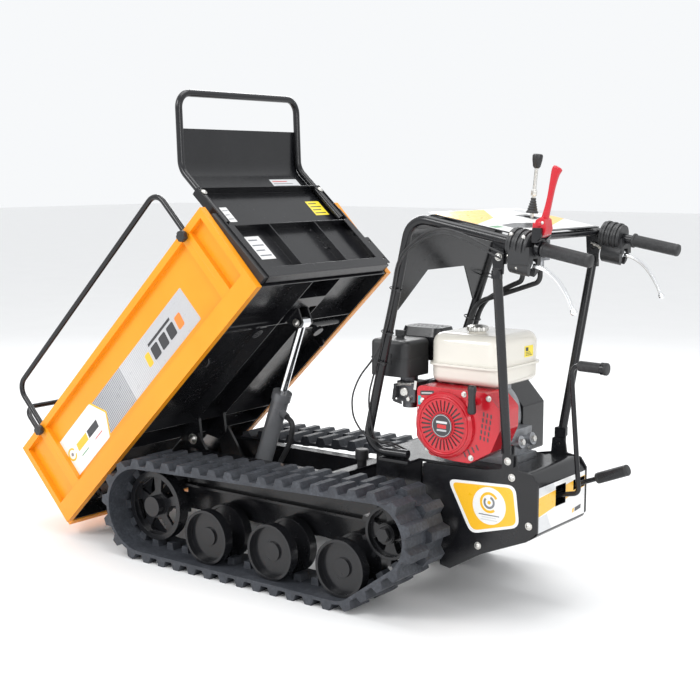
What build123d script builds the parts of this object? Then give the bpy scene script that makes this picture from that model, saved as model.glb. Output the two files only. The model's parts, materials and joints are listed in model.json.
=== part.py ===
"""Tracked power wheelbarrow (mini dumper) with a tipping bed, modelled with the bed fully tipped.

Frame, in millimetres: +X towards the operator, +Y to the machine's right, +Z up. The origin is on
the ground, in the middle of the machine's length and width.
"""
import os
from math import atan2, cos, hypot, pi, radians, sin

from build123d import *

os.makedirs("parts", exist_ok=True)

# ---------------------------------------------------------------- driving dimensions
FIT = 0.05                    # radial running clearance of a shaft in its bore
GAP = 0.5                     # clearance between pieces that move past each other

# running gear
TRACK_MID = 268               # middle of each track, from the machine's centre plane
TRACK_WIDTH = 180
BAND = 10                     # thickness of the rubber band
LUG = 20                      # height of the lugs, inside and outside
LUG_ROW_GAP = 4
IDLER_AT = (-386, 156)        # x, z of the front idler's axis
IDLER_BAND = 136              # radius of the band's outer face round the idler
SPROCKET_AT = (484, 222)
SPROCKET_BAND = 103
TEETH = 10
ROLLER_X = {"front": -137, "middle": 107, "rear": 353}
ROLLER_Z = 110
ROLLER_R = 80
BEAM_Y = (186, 194)           # web of the beam that carries the wheels
AXLE_R = 10
IDLER_AXLE_R = 15
SHAFT_R = 20

# chassis
RAIL_Y = (90, 128)            # longitudinal chassis tubes
RAIL_Z = (240, 300)
DECK_Z = (386, 394)           # plate under the engine
DECK_X = (330, 730)
PLATE_Y = (130, 136)          # side plates of the rear body
REAR_X = 842                  # rear face of the rear body

# tipping bed, in its own frame: u rearwards, y across, w up from the side panels' lower edge
TILT = 44.4                   # tipping angle
BED_FRONT = (-755, 49.6)      # x, z of the side panels' lower front corner when tipped
BED_LENGTH = 1142
PANEL_HEIGHT = 300
PANEL_Y = 317                 # outer face of the side panels
PANEL_DEPTH = 22
FLOOR_Y = 292
FLOOR_W = (38, 41)
FLANGE_W = 2                  # lower edge of the floor's flanges
PIVOT_UW = (425.6, -34)       # bed pivot
EYE_UW = (980, -26)           # upper eye of the cylinder
POST_U = (124, 1041)          # rail sockets in the side panels
FRONT_POST_Y = 206
RAIL_R = 8.5
RAIL_TOP = 459
HEAD_U = (1145, 1172)         # headboard frame
HEAD_Y = 279
HEAD_W = (10, 372)
TIE_U = {"left": (190, 935), "right": (150, 895)}   # sliding tubes of the side panels
FRONT_TIE_Y = 82              # sliding tubes of the front panel
TIE_W = 20
TIE_R = 10

# cylinder
BASE_AT = (-248, 130)         # x, z of the lower pivot
BARREL_R = 27
ROD_R = 12.5
ROD_SHOWN = 235               # from the upper eye to the barrel's end, bed tipped
OPEN_PIN_R = 7                # fixed pin of the open pivot
OPEN_EYE_R = 20               # its eye, with room for the simplified motion

# engine
CRANK_AT = (577, 503)         # x, z of the crankshaft
ENGINE_FOOT = 394

# handles
TUBE_R = 12.5
GRIP_R = 16.5
BAR_FOOT = (460, 162, 406.7)
BAR_HEEL = (325, 172, 406.7)
BAR_BEND = (515, 235, 1050)
BAR_END = (1030, 252, 957.5)
GRIP_START_X = 905

HALF_WAY = -31                # x of the middle of the machine's length, as drawn here
BED = Location((BED_FRONT[0], 0, BED_FRONT[1]), (0, -TILT, 0))
MIRROR = {"left": -1, "right": 1}


# ---------------------------------------------------------------- helpers
def block(xs, ys, zs, mode=Mode.ADD):
    """A box that spans the three ranges, in the current part."""
    with Locations(((xs[0] + xs[1]) / 2, (ys[0] + ys[1]) / 2, (zs[0] + zs[1]) / 2)):
        Box(abs(xs[1] - xs[0]), abs(ys[1] - ys[0]), abs(zs[1] - zs[0]), mode=mode)


def bar(start, end, radius, mode=Mode.ADD):
    """A round bar from one point to another, in the current part."""
    way = Vector(*end) - Vector(*start)
    with Locations(Plane(origin=start, z_dir=way)):
        Cylinder(radius, way.length, align=(Align.CENTER, Align.CENTER, Align.MIN), mode=mode)


def bent_bar(points, radii, radius, mode=Mode.ADD):
    """A round bar bent along straight runs joined by tangent arcs, in the current part."""
    with BuildLine() as route:
        FilletPolyline(*points, radius=radii)
    with BuildSketch(Plane(origin=route.line @ 0, z_dir=route.line % 0)) as section:
        Circle(radius)
    sweep(sections=section.sketch, path=route.line, mode=mode)
    return route.wire().length


def plate(points, ys, mode=Mode.ADD, round_off=0):
    """A plate of the given outline in x and z, between two values of y, in the current part."""
    with BuildSketch(Plane.XZ.offset(-ys[1])) as outline:
        with BuildLine():
            Polyline(*points, close=True)
        make_face()
        if round_off:
            fillet(outline.vertices(), round_off)
    extrude(to_extrude=outline.sketch, amount=ys[1] - ys[0], mode=mode)


def drum(at, ys, radius, mode=Mode.ADD):
    """A round disc or drum about an axis along y through x, z, in the current part."""
    bar((at[0], ys[0], at[1]), (at[0], ys[1], at[1]), radius, mode)


def between(side, near, far):
    """The y range between two distances from the centre plane, on one side."""
    return sorted((MIRROR[side] * near, MIRROR[side] * far))


def save(piece, name):
    """Writes a piece, moved so that x = 0 is in the middle of the machine's length."""
    placed = piece.moved(Location((-HALF_WAY, 0, 0)))
    placed.label = name
    export_step(placed, f"parts/{name}.step")


def save_on_bed(piece, name):
    save(piece.moved(BED), name)


def mirrored(point, side):
    return (point[0], MIRROR[side] * point[1], point[2])


# ---------------------------------------------------------------- tracks
def tangent_points(first, second):
    """Where the belt leaves one circle and meets the next, both passed anticlockwise."""
    (x1, z1, r1), (x2, z2, r2) = first, second
    apart = hypot(x2 - x1, z2 - z1)
    lean = atan2(z2 - z1, x2 - x1) - pi / 2 + atan2(r1 - r2, (apart**2 - (r1 - r2) ** 2) ** 0.5)
    out = (cos(lean), sin(lean))
    return (x1 + r1 * out[0], z1 + r1 * out[1]), (x2 + r2 * out[0], z2 + r2 * out[1])


def belt_loop(inset):
    """The belt's closed line in x and z, inset from its outer face."""
    wheels = [
        (*IDLER_AT, IDLER_BAND - inset),
        (ROLLER_X["rear"], ROLLER_Z, ROLLER_R + BAND - inset),
        (*SPROCKET_AT, SPROCKET_BAND - inset),
    ]
    ties = [tangent_points(wheels[i], wheels[(i + 1) % 3]) for i in range(3)]
    with BuildLine() as loop:
        for i, (leave, meet) in enumerate(ties):
            x, z, r = wheels[(i + 1) % 3]
            on_again = ties[(i + 1) % 3][0]
            start, end = (atan2(p[1] - z, p[0] - x) for p in (meet, on_again))
            middle = start + ((end - start) % (2 * pi)) / 2
            Line(leave, meet)
            ThreePointArc(meet, (x + r * cos(middle), z + r * sin(middle)), on_again)
    return loop.wire()


BELT = belt_loop(BAND / 2)
PITCHES = round(BELT.length / (2 * pi * (SPROCKET_BAND - BAND / 2) / TEETH))
print("track pitches", PITCHES, "pitch", round(BELT.length / PITCHES, 2))


def lug_places(phase):
    """Where the lugs stand, as a point and the outward direction in x and z."""
    for i in range(PITCHES):
        at, way = BELT @ ((i + phase) / PITCHES), BELT % ((i + phase) / PITCHES)
        yield (at.X, at.Y), (way.Y, -way.X)


def lugs(phase, low, high, base, tip):
    """One row of lugs in the current sketch, as trapezoids between two heights off the belt's line."""
    for (x, z), (nx, nz) in lug_places(phase):
        corners = [(low, -base / 2), (low, base / 2), (high, tip / 2), (high, -tip / 2)]
        with BuildLine() as outline:
            Polyline(*[(x + nx * h - nz * s, z + nz * h + nx * s) for h, s in corners], close=True)
        make_face(outline.edges())


def build_track(side):
    near, far = TRACK_MID - TRACK_WIDTH / 2, TRACK_MID + TRACK_WIDTH / 2
    with BuildPart() as track:
        for ys, phase, low, high, base, tip in [
            (between(side, near, far), None, 0, 0, 0, 0),
            (between(side, near, TRACK_MID - LUG_ROW_GAP), 0, 0, BAND / 2 + LUG, 42, 22),
            (between(side, TRACK_MID + LUG_ROW_GAP, far), 0.5, 0, BAND / 2 + LUG, 42, 22),
            (between(side, TRACK_MID - 17, TRACK_MID + 17), LUG_PHASE, 0, -BAND / 2 - LUG, 30, 22),
        ]:
            with BuildSketch(Plane.XZ.offset(-ys[1])):
                if phase is None:
                    make_face(belt_loop(0).edges())
                    make_face(belt_loop(BAND).edges(), mode=Mode.SUBTRACT)
                else:
                    lugs(phase, low, high, base, tip)
            extrude(amount=ys[1] - ys[0])
    return track.part


def sprocket_phase():
    """Moves the inner lugs so that one stands at the rearmost point of the sprocket's wrap."""
    rearmost = BELT.param_at_point(Vector(SPROCKET_AT[0] + SPROCKET_BAND - BAND / 2, SPROCKET_AT[1]))
    return (rearmost * PITCHES) % 1


LUG_PHASE = sprocket_phase()
for side in MIRROR:
    save(build_track(side), f"track_{side}")


# ---------------------------------------------------------------- wheels
def wheel_bore(at, side, radius, depth_to):
    """Blind bore for the axle, open towards the machine's middle."""
    drum(at, between(side, BEAM_Y[0], depth_to), radius + FIT, Mode.SUBTRACT)


def build_roller(side, x):
    at = (x, ROLLER_Z)
    with BuildPart() as roller:
        drum(at, between(side, 215, 320), 27)
        for rim, face in [((215, 245), 236), ((300, 330), 309)]:
            drum(at, between(side, *rim), ROLLER_R)
            drum(at, between(side, face + 3, rim[1]), ROLLER_R - 8, Mode.SUBTRACT)
            drum(at, between(side, rim[0], face - 3), ROLLER_R - 8, Mode.SUBTRACT)
        drum(at, between(side, 215, 318), 27)
        wheel_bore(at, side, AXLE_R, 304)
    return roller.part


def build_idler(side):
    rim_r = IDLER_BAND - BAND - LUG - GAP
    with BuildPart() as idler:
        drum(IDLER_AT, between(side, 250, 286), rim_r)
        drum(IDLER_AT, between(side, 272, 286), rim_r - 16, Mode.SUBTRACT)
        drum(IDLER_AT, between(side, 250, 262), rim_r - 16, Mode.SUBTRACT)
        with BuildSketch(Plane.XZ.offset(-MIRROR[side] * TRACK_MID)) as windows:
            with Locations(IDLER_AT):
                with PolarLocations(0, 5, start_angle=54):
                    with Locations((62, 0)):
                        Trapezoid(78, 40, 60, rotation=90)
            fillet(windows.vertices(), 7)
        extrude(to_extrude=windows.sketch, amount=24, both=True, mode=Mode.SUBTRACT)
        drum(IDLER_AT, between(side, 236, 300), 31)
        wheel_bore(IDLER_AT, side, IDLER_AXLE_R, 286)
    return idler.part


def build_sprocket(side):
    ring_r = SPROCKET_BAND - BAND - LUG - GAP
    tooth_r = SPROCKET_BAND - BAND - 2
    with BuildPart() as sprocket:
        with BuildSketch(Plane.XZ.offset(-MIRROR[side] * TRACK_MID - 15)) as outline:
            with Locations(SPROCKET_AT):
                Circle(ring_r)
                with PolarLocations(0, TEETH, start_angle=180 / TEETH):
                    with Locations((tooth_r - 12, 0)):
                        Trapezoid(17, 24, 84, rotation=-90)
        extrude(to_extrude=outline.sketch, amount=30, both=False)
        drum(SPROCKET_AT, between(side, 283, 290), ring_r)
        drum(SPROCKET_AT, between(side, 276, 290), ring_r - 8, Mode.SUBTRACT)
        with BuildSketch(Plane.XZ.offset(-MIRROR[side] * TRACK_MID - 30)) as windows:
            with Locations(SPROCKET_AT):
                with PolarLocations(0, 4, start_angle=45):
                    with Locations((43, 0)):
                        Trapezoid(52, 30, 66, rotation=90)
            fillet(windows.vertices(), 6)
        extrude(to_extrude=windows.sketch, amount=60, mode=Mode.SUBTRACT)
        drum(SPROCKET_AT, between(side, 240, 300), 29)
        drum(SPROCKET_AT, between(side, 140, 312), SHAFT_R)
        drum(SPROCKET_AT, between(side, 300, 303), 26)
        nut_y = between(side, 303, 315)
        with BuildSketch(Plane.XZ.offset(-nut_y[1])) as nut:
            with Locations(SPROCKET_AT):
                RegularPolygon(20, 6)
        extrude(to_extrude=nut.sketch, amount=nut_y[1] - nut_y[0])
    return sprocket.part


for side in MIRROR:
    for place, x in ROLLER_X.items():
        save(build_roller(side, x), f"roller_{side}_{place}")
    save(build_idler(side), f"idler_{side}")
    save(build_sprocket(side), f"sprocket_{side}")


# ---------------------------------------------------------------- chassis
PIVOT = (Vector(PIVOT_UW[0], 0, PIVOT_UW[1])).rotate(Axis.Y, -TILT) + Vector(BED_FRONT[0], 0, BED_FRONT[1])
PIVOT_AT = (PIVOT.X, PIVOT.Z)
print("bed pivot", round(PIVOT.X, 1), round(PIVOT.Z, 1))

with BuildPart() as chassis:
    for side in MIRROR:
        block((-430, 440), between(side, *RAIL_Y), RAIL_Z)
        block((-335, 425), between(side, *BEAM_Y), (140, 276))
        block((-335, 425), between(side, BEAM_Y[0], 211), (268, 276))
        block((-335, 425), between(side, BEAM_Y[0], 211), (212, 220))
        block((-420, -330), between(side, *BEAM_Y), (126, 186))
        drum(IDLER_AT, between(side, BEAM_Y[0], 235), 24)
        drum(IDLER_AT, between(side, BEAM_Y[0], 285), IDLER_AXLE_R)
        for x in ROLLER_X.values():
            block((x - 32, x + 32), between(side, *BEAM_Y), (84, 150))
            drum((x, ROLLER_Z), between(side, BEAM_Y[0], 214), 20)
            drum((x, ROLLER_Z), between(side, BEAM_Y[0], 303), AXLE_R)
        block((330, 480), between(side, 120, 128), (300, DECK_Z[0]))
        plate([(PIVOT_AT[0] - 26, PIVOT_AT[1] + 8), (PIVOT_AT[0] + 20, PIVOT_AT[1] + 20),
               (PIVOT_AT[0] + 95, 240), (PIVOT_AT[0] - 3, 240)], between(side, 64, 74))
        block((PIVOT_AT[0] - 3, PIVOT_AT[0] + 95), between(side, 64, 92), (240, 250))
        plate([(-325, 196), (-288, 196), (-222, 152), (-226, 108), (-266, 106)], between(side, 34, 42))
        drum(PIVOT_AT, between(side, 64, 74), 8 + FIT, Mode.SUBTRACT)
    for x in (-330, 150):
        block((x, x + 42), (-BEAM_Y[1], BEAM_Y[1]), (190, RAIL_Z[0]))
    block((340, 385), (-RAIL_Y[1], RAIL_Y[1]), RAIL_Z)
    drum(BASE_AT, (-42, 42), OPEN_PIN_R)
    block((166, 204), (-RAIL_Y[1], RAIL_Y[1]), (RAIL_Z[1], 310))
    block(DECK_X, (-129, 129), DECK_Z)
    block((380, 476), (-188, 188), DECK_Z)
save(chassis.part, "chassis_frame")

with BuildPart() as buffer:
    bar((185, 0, 310), (185, 0, 330), 14)
    bar((185, 0, 328), (185, 0, 358.4), 20)
    chamfer(buffer.faces().sort_by(Axis.Z)[-1].edges(), 3)
save(buffer.part, "bed_buffer")

PLATE_BOLTS = ((766, 383), (818, 263), (667, 185))
SIDE_OUTLINE = [(491, 385), (690, 393), (735, 402), (738, 442), (776, 442), (782, 404), (REAR_X - 18, 398),
                (REAR_X, 372), (REAR_X, 248), (812, 220), (677, 164), (580, 107), (549, 112), (543, 200),
                (491, 250)]
with BuildPart() as side_plates:
    for side in MIRROR:
        plate(SIDE_OUTLINE, between(side, *PLATE_Y), round_off=4)
        drum(SPROCKET_AT, between(side, *PLATE_Y), 37, Mode.SUBTRACT)
        drum((757, 426), between(side, *PLATE_Y), 5, Mode.SUBTRACT)
        for x, z in PLATE_BOLTS:
            drum((x, z), between(side, *PLATE_Y), 4.3, Mode.SUBTRACT)
save(side_plates.part, "side_plates")

COVER = [(735, 396), (REAR_X - 30, 398), (REAR_X - 3, 368), (REAR_X - 3, 240), (812, 222), (690, 172)]
with BuildPart() as rear_cover:
    with BuildLine(Plane.XZ) as cover_line:
        FilletPolyline(*COVER, radius=[22, 22, 12, 12])
    with BuildSketch(Plane.YZ.offset(COVER[0][0])) as cover_section:
        with Locations((0, COVER[0][1])):
            Rectangle(2 * PLATE_Y[0] - 1, 3)
    sweep(sections=cover_section.sketch, path=cover_line.line)
    block((830, 850), (-38, 18), (298, 352), Mode.SUBTRACT)
    block((830, 850), (60, 126), (322, 350), Mode.SUBTRACT)
save(rear_cover.part, "rear_cover")

GEAR_PIN = (780, -10, 312)    # the gear lever swings about y
DRIVE_PIN = (780, 78, 325)    # the drive lever swings about z

with BuildPart() as gearbox:
    block((395, 600), (-85, 85), (150, 236))
    block((430, 560), (-60, 60), (236, 330))
    fillet(gearbox.edges().filter_by(Axis.Y), 14)
    for side in MIRROR:
        drum(SPROCKET_AT, between(side, 80, 236), 34)
        drum(SPROCKET_AT, between(side, 139, 236), SHAFT_R + FIT, Mode.SUBTRACT)
    block((385.2, 396), (-60, 60), (246, 294))
    block((395, 440), (-60, 60), (236, 294))
    block((560, 600), (-26, 16), (236, 326))
    for y in (GEAR_PIN[1] - 16, GEAR_PIN[1] + 10):
        block((560, 800), (y, y + 6), (296, 326))
    drum((GEAR_PIN[0], GEAR_PIN[2]), (GEAR_PIN[1] - 16, GEAR_PIN[1] + 16), 6)
    block((560, 600), (62, 94), (200, 342))
    for z in (DRIVE_PIN[2] - 17, DRIVE_PIN[2] + 11):
        block((560, 796), (62, 94), (z, z + 6))
    bar((DRIVE_PIN[0], DRIVE_PIN[1], 308), (DRIVE_PIN[0], DRIVE_PIN[1], 342), 6)
save(gearbox.part, "gearbox")


# ---------------------------------------------------------------- engine
def vent_ring(count, radius, length, width, depth, face_y, start=0.0, arc=360.0):
    """Radial slots round the crank's axis, cut into a face that looks left."""
    with BuildSketch(Plane.XZ.offset(-face_y)) as slots:
        with Locations(CRANK_AT):
            with PolarLocations(radius, count, start_angle=start, angular_range=arc):
                SlotOverall(length, width)
    extrude(to_extrude=slots.sketch, amount=-depth, mode=Mode.SUBTRACT)


RED = [(487, 600), (486, 462), (530, 416), (606, 409), (652, 409), (716, 446), (742, 505), (742, 560), (700, 600)]
with BuildPart() as fan_cover:
    plate(RED, (-160, -66), round_off=14)
    drum(CRANK_AT, (-174, -158), 88)
    chamfer(fan_cover.faces().sort_by(Axis.Y)[0].edges(), 6)
    vent_ring(30, 52, 30, 4.5, 10, -174)
    plate([(495, 592), (495, 468), (535, 425), (606, 418), (650, 418), (709, 452), (733, 508), (733, 556),
           (696, 592)], (-150, -66), Mode.SUBTRACT)
    drum(CRANK_AT, (-178, -172), 33)
    bar((662, -162, 572), (662, -180, 572), 11)
save(fan_cover.part, "fan_cover")

with BuildPart() as recoil_grip:
    block((666, 692), (-206, -184), (548, 622))
    fillet(recoil_grip.edges(), 6)
    bar((672, -184.5, 572), (665, -182.6, 572), 2)
save(recoil_grip.part, "recoil_grip")

with BuildPart() as crankcase:
    block((500, 722), (-62, 72), (ENGINE_FOOT, 412))
    block((508, 706), (-60, 72), (412, 480))
    drum(CRANK_AT, (-60, 72), 96)
    block((440, 640), (-58, 72), (520, 596))
    split(bisect_by=Plane((0, 0, 598), z_dir=(0, 0, -1)), keep=Keep.TOP)
    for x in (446, 458, 470, 482):
        block((x, x + 5), (-64, 74), (516, 597))
    drum(CRANK_AT, (72, 110), 14)
    for y in (-30, 30):
        bar((700, y, 446), (724, y, 452), 12)
        bar((724, y, 452), (734, y, 454.5), 17)
save(crankcase.part, "crankcase")

TANK = (482, 716, -122, 122)
with BuildPart() as tank:
    block((TANK[0] + 8, TANK[1] - 8), (TANK[2] + 8, TANK[3] - 8), (604, 738))
    fillet(tank.edges().filter_by(Axis.Z), 36)
    fillet(tank.faces().sort_by(Axis.Z)[-1].edges(), 30)
    fillet(tank.faces().sort_by(Axis.Z)[0].edges(), 18)
    with BuildSketch(Plane.XY.offset(651)) as flange:
        with Locations(((TANK[0] + TANK[1]) / 2, 0)):
            RectangleRounded(TANK[1] - TANK[0], TANK[3] - TANK[2], 44)
    extrude(to_extrude=flange.sketch, amount=6)
    bar((599, -40, 736), (599, -40, 742), 24)
    for x in (540, 660):
        for y in (-40, 50):
            block((x - 8, x + 8), (y - 8, y + 8), (598.5, 606))
save(tank.part, "fuel_tank")

with BuildPart() as fuel_cap:
    bar((599, -40, 742.5), (599, -40, 757), 29)
    chamfer(fuel_cap.faces().sort_by(Axis.Z)[-1].edges(), 2)
    with Locations((599, -40, 750)):
        with PolarLocations(30.5, 14):
            Cylinder(3, 30, mode=Mode.SUBTRACT)
save(fuel_cap.part, "fuel_cap")

with BuildPart() as air_cleaner:
    block((331, 455), (-165, -45), (615, 713))
    fillet(air_cleaner.edges().filter_by(Axis.Z), 20)
    fillet(air_cleaner.faces().sort_by(Axis.Z)[-1].edges(), 12)
    with BuildSketch(Plane.XY.offset(660)) as seam:
        with Locations((393, -105)):
            RectangleRounded(127, 123, 21)
    extrude(to_extrude=seam.sketch, amount=4)
    bar((393, -105, 710), (393, -105, 722), 11)
    block((378, 408), (-108, -102), (718, 735))
save(air_cleaner.part, "air_cleaner")

with BuildPart() as carburettor:
    block((402, 466), (-138, -76), (546, 600))
    fillet(carburettor.edges().filter_by(Axis.Z), 8)
    bar((424, -106, 598), (424, -106, 614.6), 24)
    bar((430, -108, 528), (430, -108, 547), 21)
    bar((450, -77, 570), (450, -64.2, 570), 16)
    block((404, 412), (-152, -136), (556, 594))
    bar((396, -120, 560), (404, -120, 560), 8)
save(carburettor.part, "carburettor")

with BuildPart() as muffler:
    block((332, 478), (-38, 66), (648, 712))
    fillet(muffler.edges().filter_by(Axis.Z), 16)
    with BuildSketch(Plane.XY.offset(712)) as dome:
        with Locations((405, 14)):
            RectangleRounded(140, 98, 30)
    extrude(to_extrude=dome.sketch, amount=24, taper=20)
    with BuildSketch(Plane.XY.offset(736)) as slots:
        with Locations((405, -8), (405, 14), (405, 36)):
            with GridLocations(13, 1, 8, 1):
                SlotOverall(18, 5, rotation=90)
    extrude(to_extrude=slots.sketch, amount=-10, mode=Mode.SUBTRACT)
    bar((460, 20, 650), (460, 20, 597.2), 15)
save(muffler.part, "muffler")

GUARD = [(486, 396), (676, 396), (676, 528), (622, 586), (486, 586)]
with BuildPart() as belt_guard:
    plate(GUARD, (76, 192), round_off=8)
    plate([(489, 390), (673, 390), (673, 527), (621, 583), (489, 583)], (79, 189), Mode.SUBTRACT)
    drum(CRANK_AT, (74, 82), 16, Mode.SUBTRACT)
save(belt_guard.part, "belt_guard")


# ---------------------------------------------------------------- handles and console
def on_bar(x, side, lift=0.0):
    """The point of a handlebar's centre line at x."""
    part = (x - BAR_BEND[0]) / (BAR_END[0] - BAR_BEND[0])
    y, z = (BAR_BEND[i] + part * (BAR_END[i] - BAR_BEND[i]) for i in (1, 2))
    return (x, MIRROR[side] * y, z + lift)


def on_leg(z, side):
    """The point of a front leg's centre line at height z."""
    part = (z - BAR_HEEL[2]) / (BAR_BEND[2] - BAR_HEEL[2])
    x, y = (BAR_HEEL[i] + part * (BAR_BEND[i] - BAR_HEEL[i]) for i in (0, 1))
    return (x, MIRROR[side] * y, z)


with BuildPart() as console_frame:
    for side in MIRROR:
        route = [mirrored(p, side) for p in (BAR_FOOT, BAR_HEEL, BAR_BEND, BAR_END)]
        bent_bar(route, [50, 62], TUBE_R)
        x, y, z = on_bar(790, side)
        plate([(x - 24, z - 6), (x + 24, z - 12), (x + 14, z - 60), (x - 20, z - 60)], between(side, 245, 251.2))
        drum((788, 958.5), between(side, 240, 262), 5, Mode.SUBTRACT)
    for x in (590, 800):
        bar(on_bar(x, "left"), on_bar(x, "right"), 9)
    plate([(583, 1042), (599, 1040), (700, 985), (700, 940), (622, 940)], (150.2, 154))
save(console_frame.part, "console_frame")

SHELL_TOP = [on_bar(x, "left", 17)[::2] for x in (812, 560)]
SHELL = SHELL_TOP + [on_leg(z, "left")[::2] for z in (1010, 800)]
with BuildPart() as console_shell:
    top_y = 231
    with BuildLine(Plane.XZ) as shell_line:
        FilletPolyline(*SHELL, radius=[70, 30])
    with BuildSketch(Plane(origin=shell_line.line @ 0, x_dir=(0, 1, 0), z_dir=shell_line.line % 0)) as strip:
        Rectangle(2 * top_y, 2.5)
    sweep(sections=strip.sketch, path=shell_line.line)
    for side in MIRROR:
        near, far = on_leg(790, side), on_leg(1095, side)
        inset = TUBE_R + 1
        with BuildSketch(Plane.YZ.offset(300)) as outside:
            with BuildLine():
                Polyline((near[1] - MIRROR[side] * inset, near[2]), (far[1] - MIRROR[side] * inset, far[2]),
                         (MIRROR[side] * 280, far[2]), (MIRROR[side] * 280, near[2]), close=True)
            make_face()
        extrude(to_extrude=outside.sketch, amount=290, mode=Mode.SUBTRACT)
    with BuildSketch(Plane.YZ.offset(300)) as notch:
        with BuildLine():
            Polyline((-205, 780), (-92, 902), (92, 902), (205, 780), close=True)
        make_face()
    extrude(to_extrude=notch.sketch, amount=230, mode=Mode.SUBTRACT)
    bar((668, 110, 990), (668, 110, 1060), 19, Mode.SUBTRACT)
save(console_shell.part, "console_shell")

STRUT_FOOT, STRUT_TOP = (757, 148.6, 452), (784, 257.5, 930)
with BuildPart() as struts:
    for side in MIRROR:
        bar(mirrored(STRUT_FOOT, side), mirrored(STRUT_TOP, side), 12)
        plate([(741, 410), (773, 410), (775, 470), (741, 470)], between(side, 136.6, 142.6), round_off=4)
        block((745, 771), between(side, 140, 156), (446, 470))
        plate([(772, 915), (800, 915), (802, 978), (770, 978)], between(side, 251.5, 257.5), round_off=4)
        block((773, 797), between(side, 252, 266), (905, 925))
        drum((757, 426), between(side, 130, 150), 5, Mode.SUBTRACT)
        drum((788, 958.5), between(side, 240, 262), 5, Mode.SUBTRACT)
save(struts.part, "rear_struts")

with BuildPart() as grips:
    for side in MIRROR:
        start, end = on_bar(GRIP_START_X, side), on_bar(BAR_END[0], side)
        tip = on_bar(BAR_END[0] + 4, side)
        bar(start, tip, GRIP_R)
        bar(start, on_bar(GRIP_START_X + 5, side), GRIP_R + 3)
        bar(on_bar(GRIP_START_X - 1, side), end, TUBE_R, Mode.SUBTRACT)
save(grips.part, "hand_grips")

LEVER_PIVOT = (868, 944)
with BuildPart() as housings:
    for side in MIRROR:
        for k, x in enumerate(range(820, 876, 8)):
            bar(on_bar(x, side), on_bar(x + 6, side), 38 if k % 2 else 35)
            bar(on_bar(x + 5, side), on_bar(x + 8, side), 34)
        bar(on_bar(824, side, -44), on_bar(880, side, -44), 30)
        block((826, 884), between(side, 222, 280), (944, 985))
        bar(on_bar(800, side), on_bar(902, side), TUBE_R, Mode.SUBTRACT)
        block((850, 905), between(side, 238, 260), (905, 957), Mode.SUBTRACT)
        drum(LEVER_PIVOT, between(side, 228, 270), 4)
save(housings.part, "lever_housings")


def build_steering_lever(side):
    x, z = LEVER_PIVOT
    blade = [(x, z), (x + 46, z - 10), (x + 88, z - 46), (x + 122, z - 108)]
    with BuildPart() as lever:
        with BuildLine(Plane.XZ.offset(-MIRROR[side] * 249)) as spine:
            Spline(*blade)
        with BuildSketch(Plane(origin=spine.line @ 0, x_dir=(0, 1, 0), z_dir=spine.line % 0)) as strip:
            RectangleRounded(14, 9, 3)
        sweep(sections=strip.sketch, path=spine.line)
        drum((x, z), between(side, 240, 258), 9)
        with Locations((blade[-1][0], MIRROR[side] * 249, blade[-1][1])):
            Sphere(9)
        drum((x, z), between(side, 239, 259), 4 + FIT, Mode.SUBTRACT)
    return lever.part


for side in MIRROR:
    save(build_steering_lever(side), f"steering_lever_{side}")

CLUTCH_PIVOT = (902, 1020)
with BuildPart() as clutch_lever:
    drum(CLUTCH_PIVOT, (-268, -236), 12)
    plate([(894, 1021), (912, 1018), (926, 1060), (944, 1172), (928, 1176), (910, 1070)], (-258, -246), round_off=3)
    block((898, 914), (-270, -234), (1016, 1054))
    drum(CLUTCH_PIVOT, (-275, -230), 5 + FIT, Mode.SUBTRACT)
save(clutch_lever.part, "clutch_lever")

with BuildPart() as clutch_bracket:
    bar(on_bar(890, "left"), on_bar(901, "left"), 21)
    block((889, 903), (-278, -226), (997, 1005))
    for ys in ((-278, -270.5), (-233.5, -226)):
        plate([(889, 1000), (903, 1000), (914, 1012), (914, 1032), (890, 1032)], ys, round_off=3)
    drum(CLUTCH_PIVOT, (-278, -226), 5)
    bar(on_bar(880, "left"), on_bar(915, "left"), TUBE_R, Mode.SUBTRACT)
save(clutch_bracket.part, "clutch_bracket")

VALVE_AT = (668, 110)
with BuildPart() as valve_lever:
    bar((VALVE_AT[0], VALVE_AT[1], 1001), (VALVE_AT[0] + 17, VALVE_AT[1], 1185), 5)
    boot_foot = Plane(origin=(VALVE_AT[0] + 4.9, VALVE_AT[1], 1054), z_dir=(17, 0, 184))
    with Locations(boot_foot):
        Cone(13, 7, 32, align=(Align.CENTER, Align.CENTER, Align.MIN))
    bar((VALVE_AT[0] + 16, VALVE_AT[1], 1172), (VALVE_AT[0] + 19, VALVE_AT[1], 1206), 14)
    drum((VALVE_AT[0], 1001), (VALVE_AT[1] - 9, VALVE_AT[1] + 9), 9)
    drum((VALVE_AT[0], 1001), (VALVE_AT[1] - 10, VALVE_AT[1] + 10), 5 + FIT, Mode.SUBTRACT)
save(valve_lever.part, "valve_lever")

with BuildPart() as valve_block:
    block((618, 708), (70, 150), (925, 984))
    for ys in ((96, 100), (120, 124)):
        block((656, 680), ys, (984, 1008))
    drum((VALVE_AT[0], 1001), (96, 124), 5)
    for x in (636, 690):
        bar((x, 130, 926), (x, 130, 905), 10)
save(valve_block.part, "valve_block")


# ---------------------------------------------------------------- levers at the rear
with BuildPart() as gear_lever:
    x, y, z = GEAR_PIN
    drum((x, z), (y - 9, y + 9), 13)
    bent_bar([(x + 7, y, 313), (893, y, 336), (862, y, 670), (960, y, 668)], [16, 22], 6.5)
    bar((890, y, 669.5), (962, y, 668), 12)
    bar((948, y, 668.3), (964, y, 667.9), 16)
    drum((x, z), (y - 10, y + 10), 6 + FIT, Mode.SUBTRACT)
save(gear_lever.part, "gear_lever")

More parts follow.
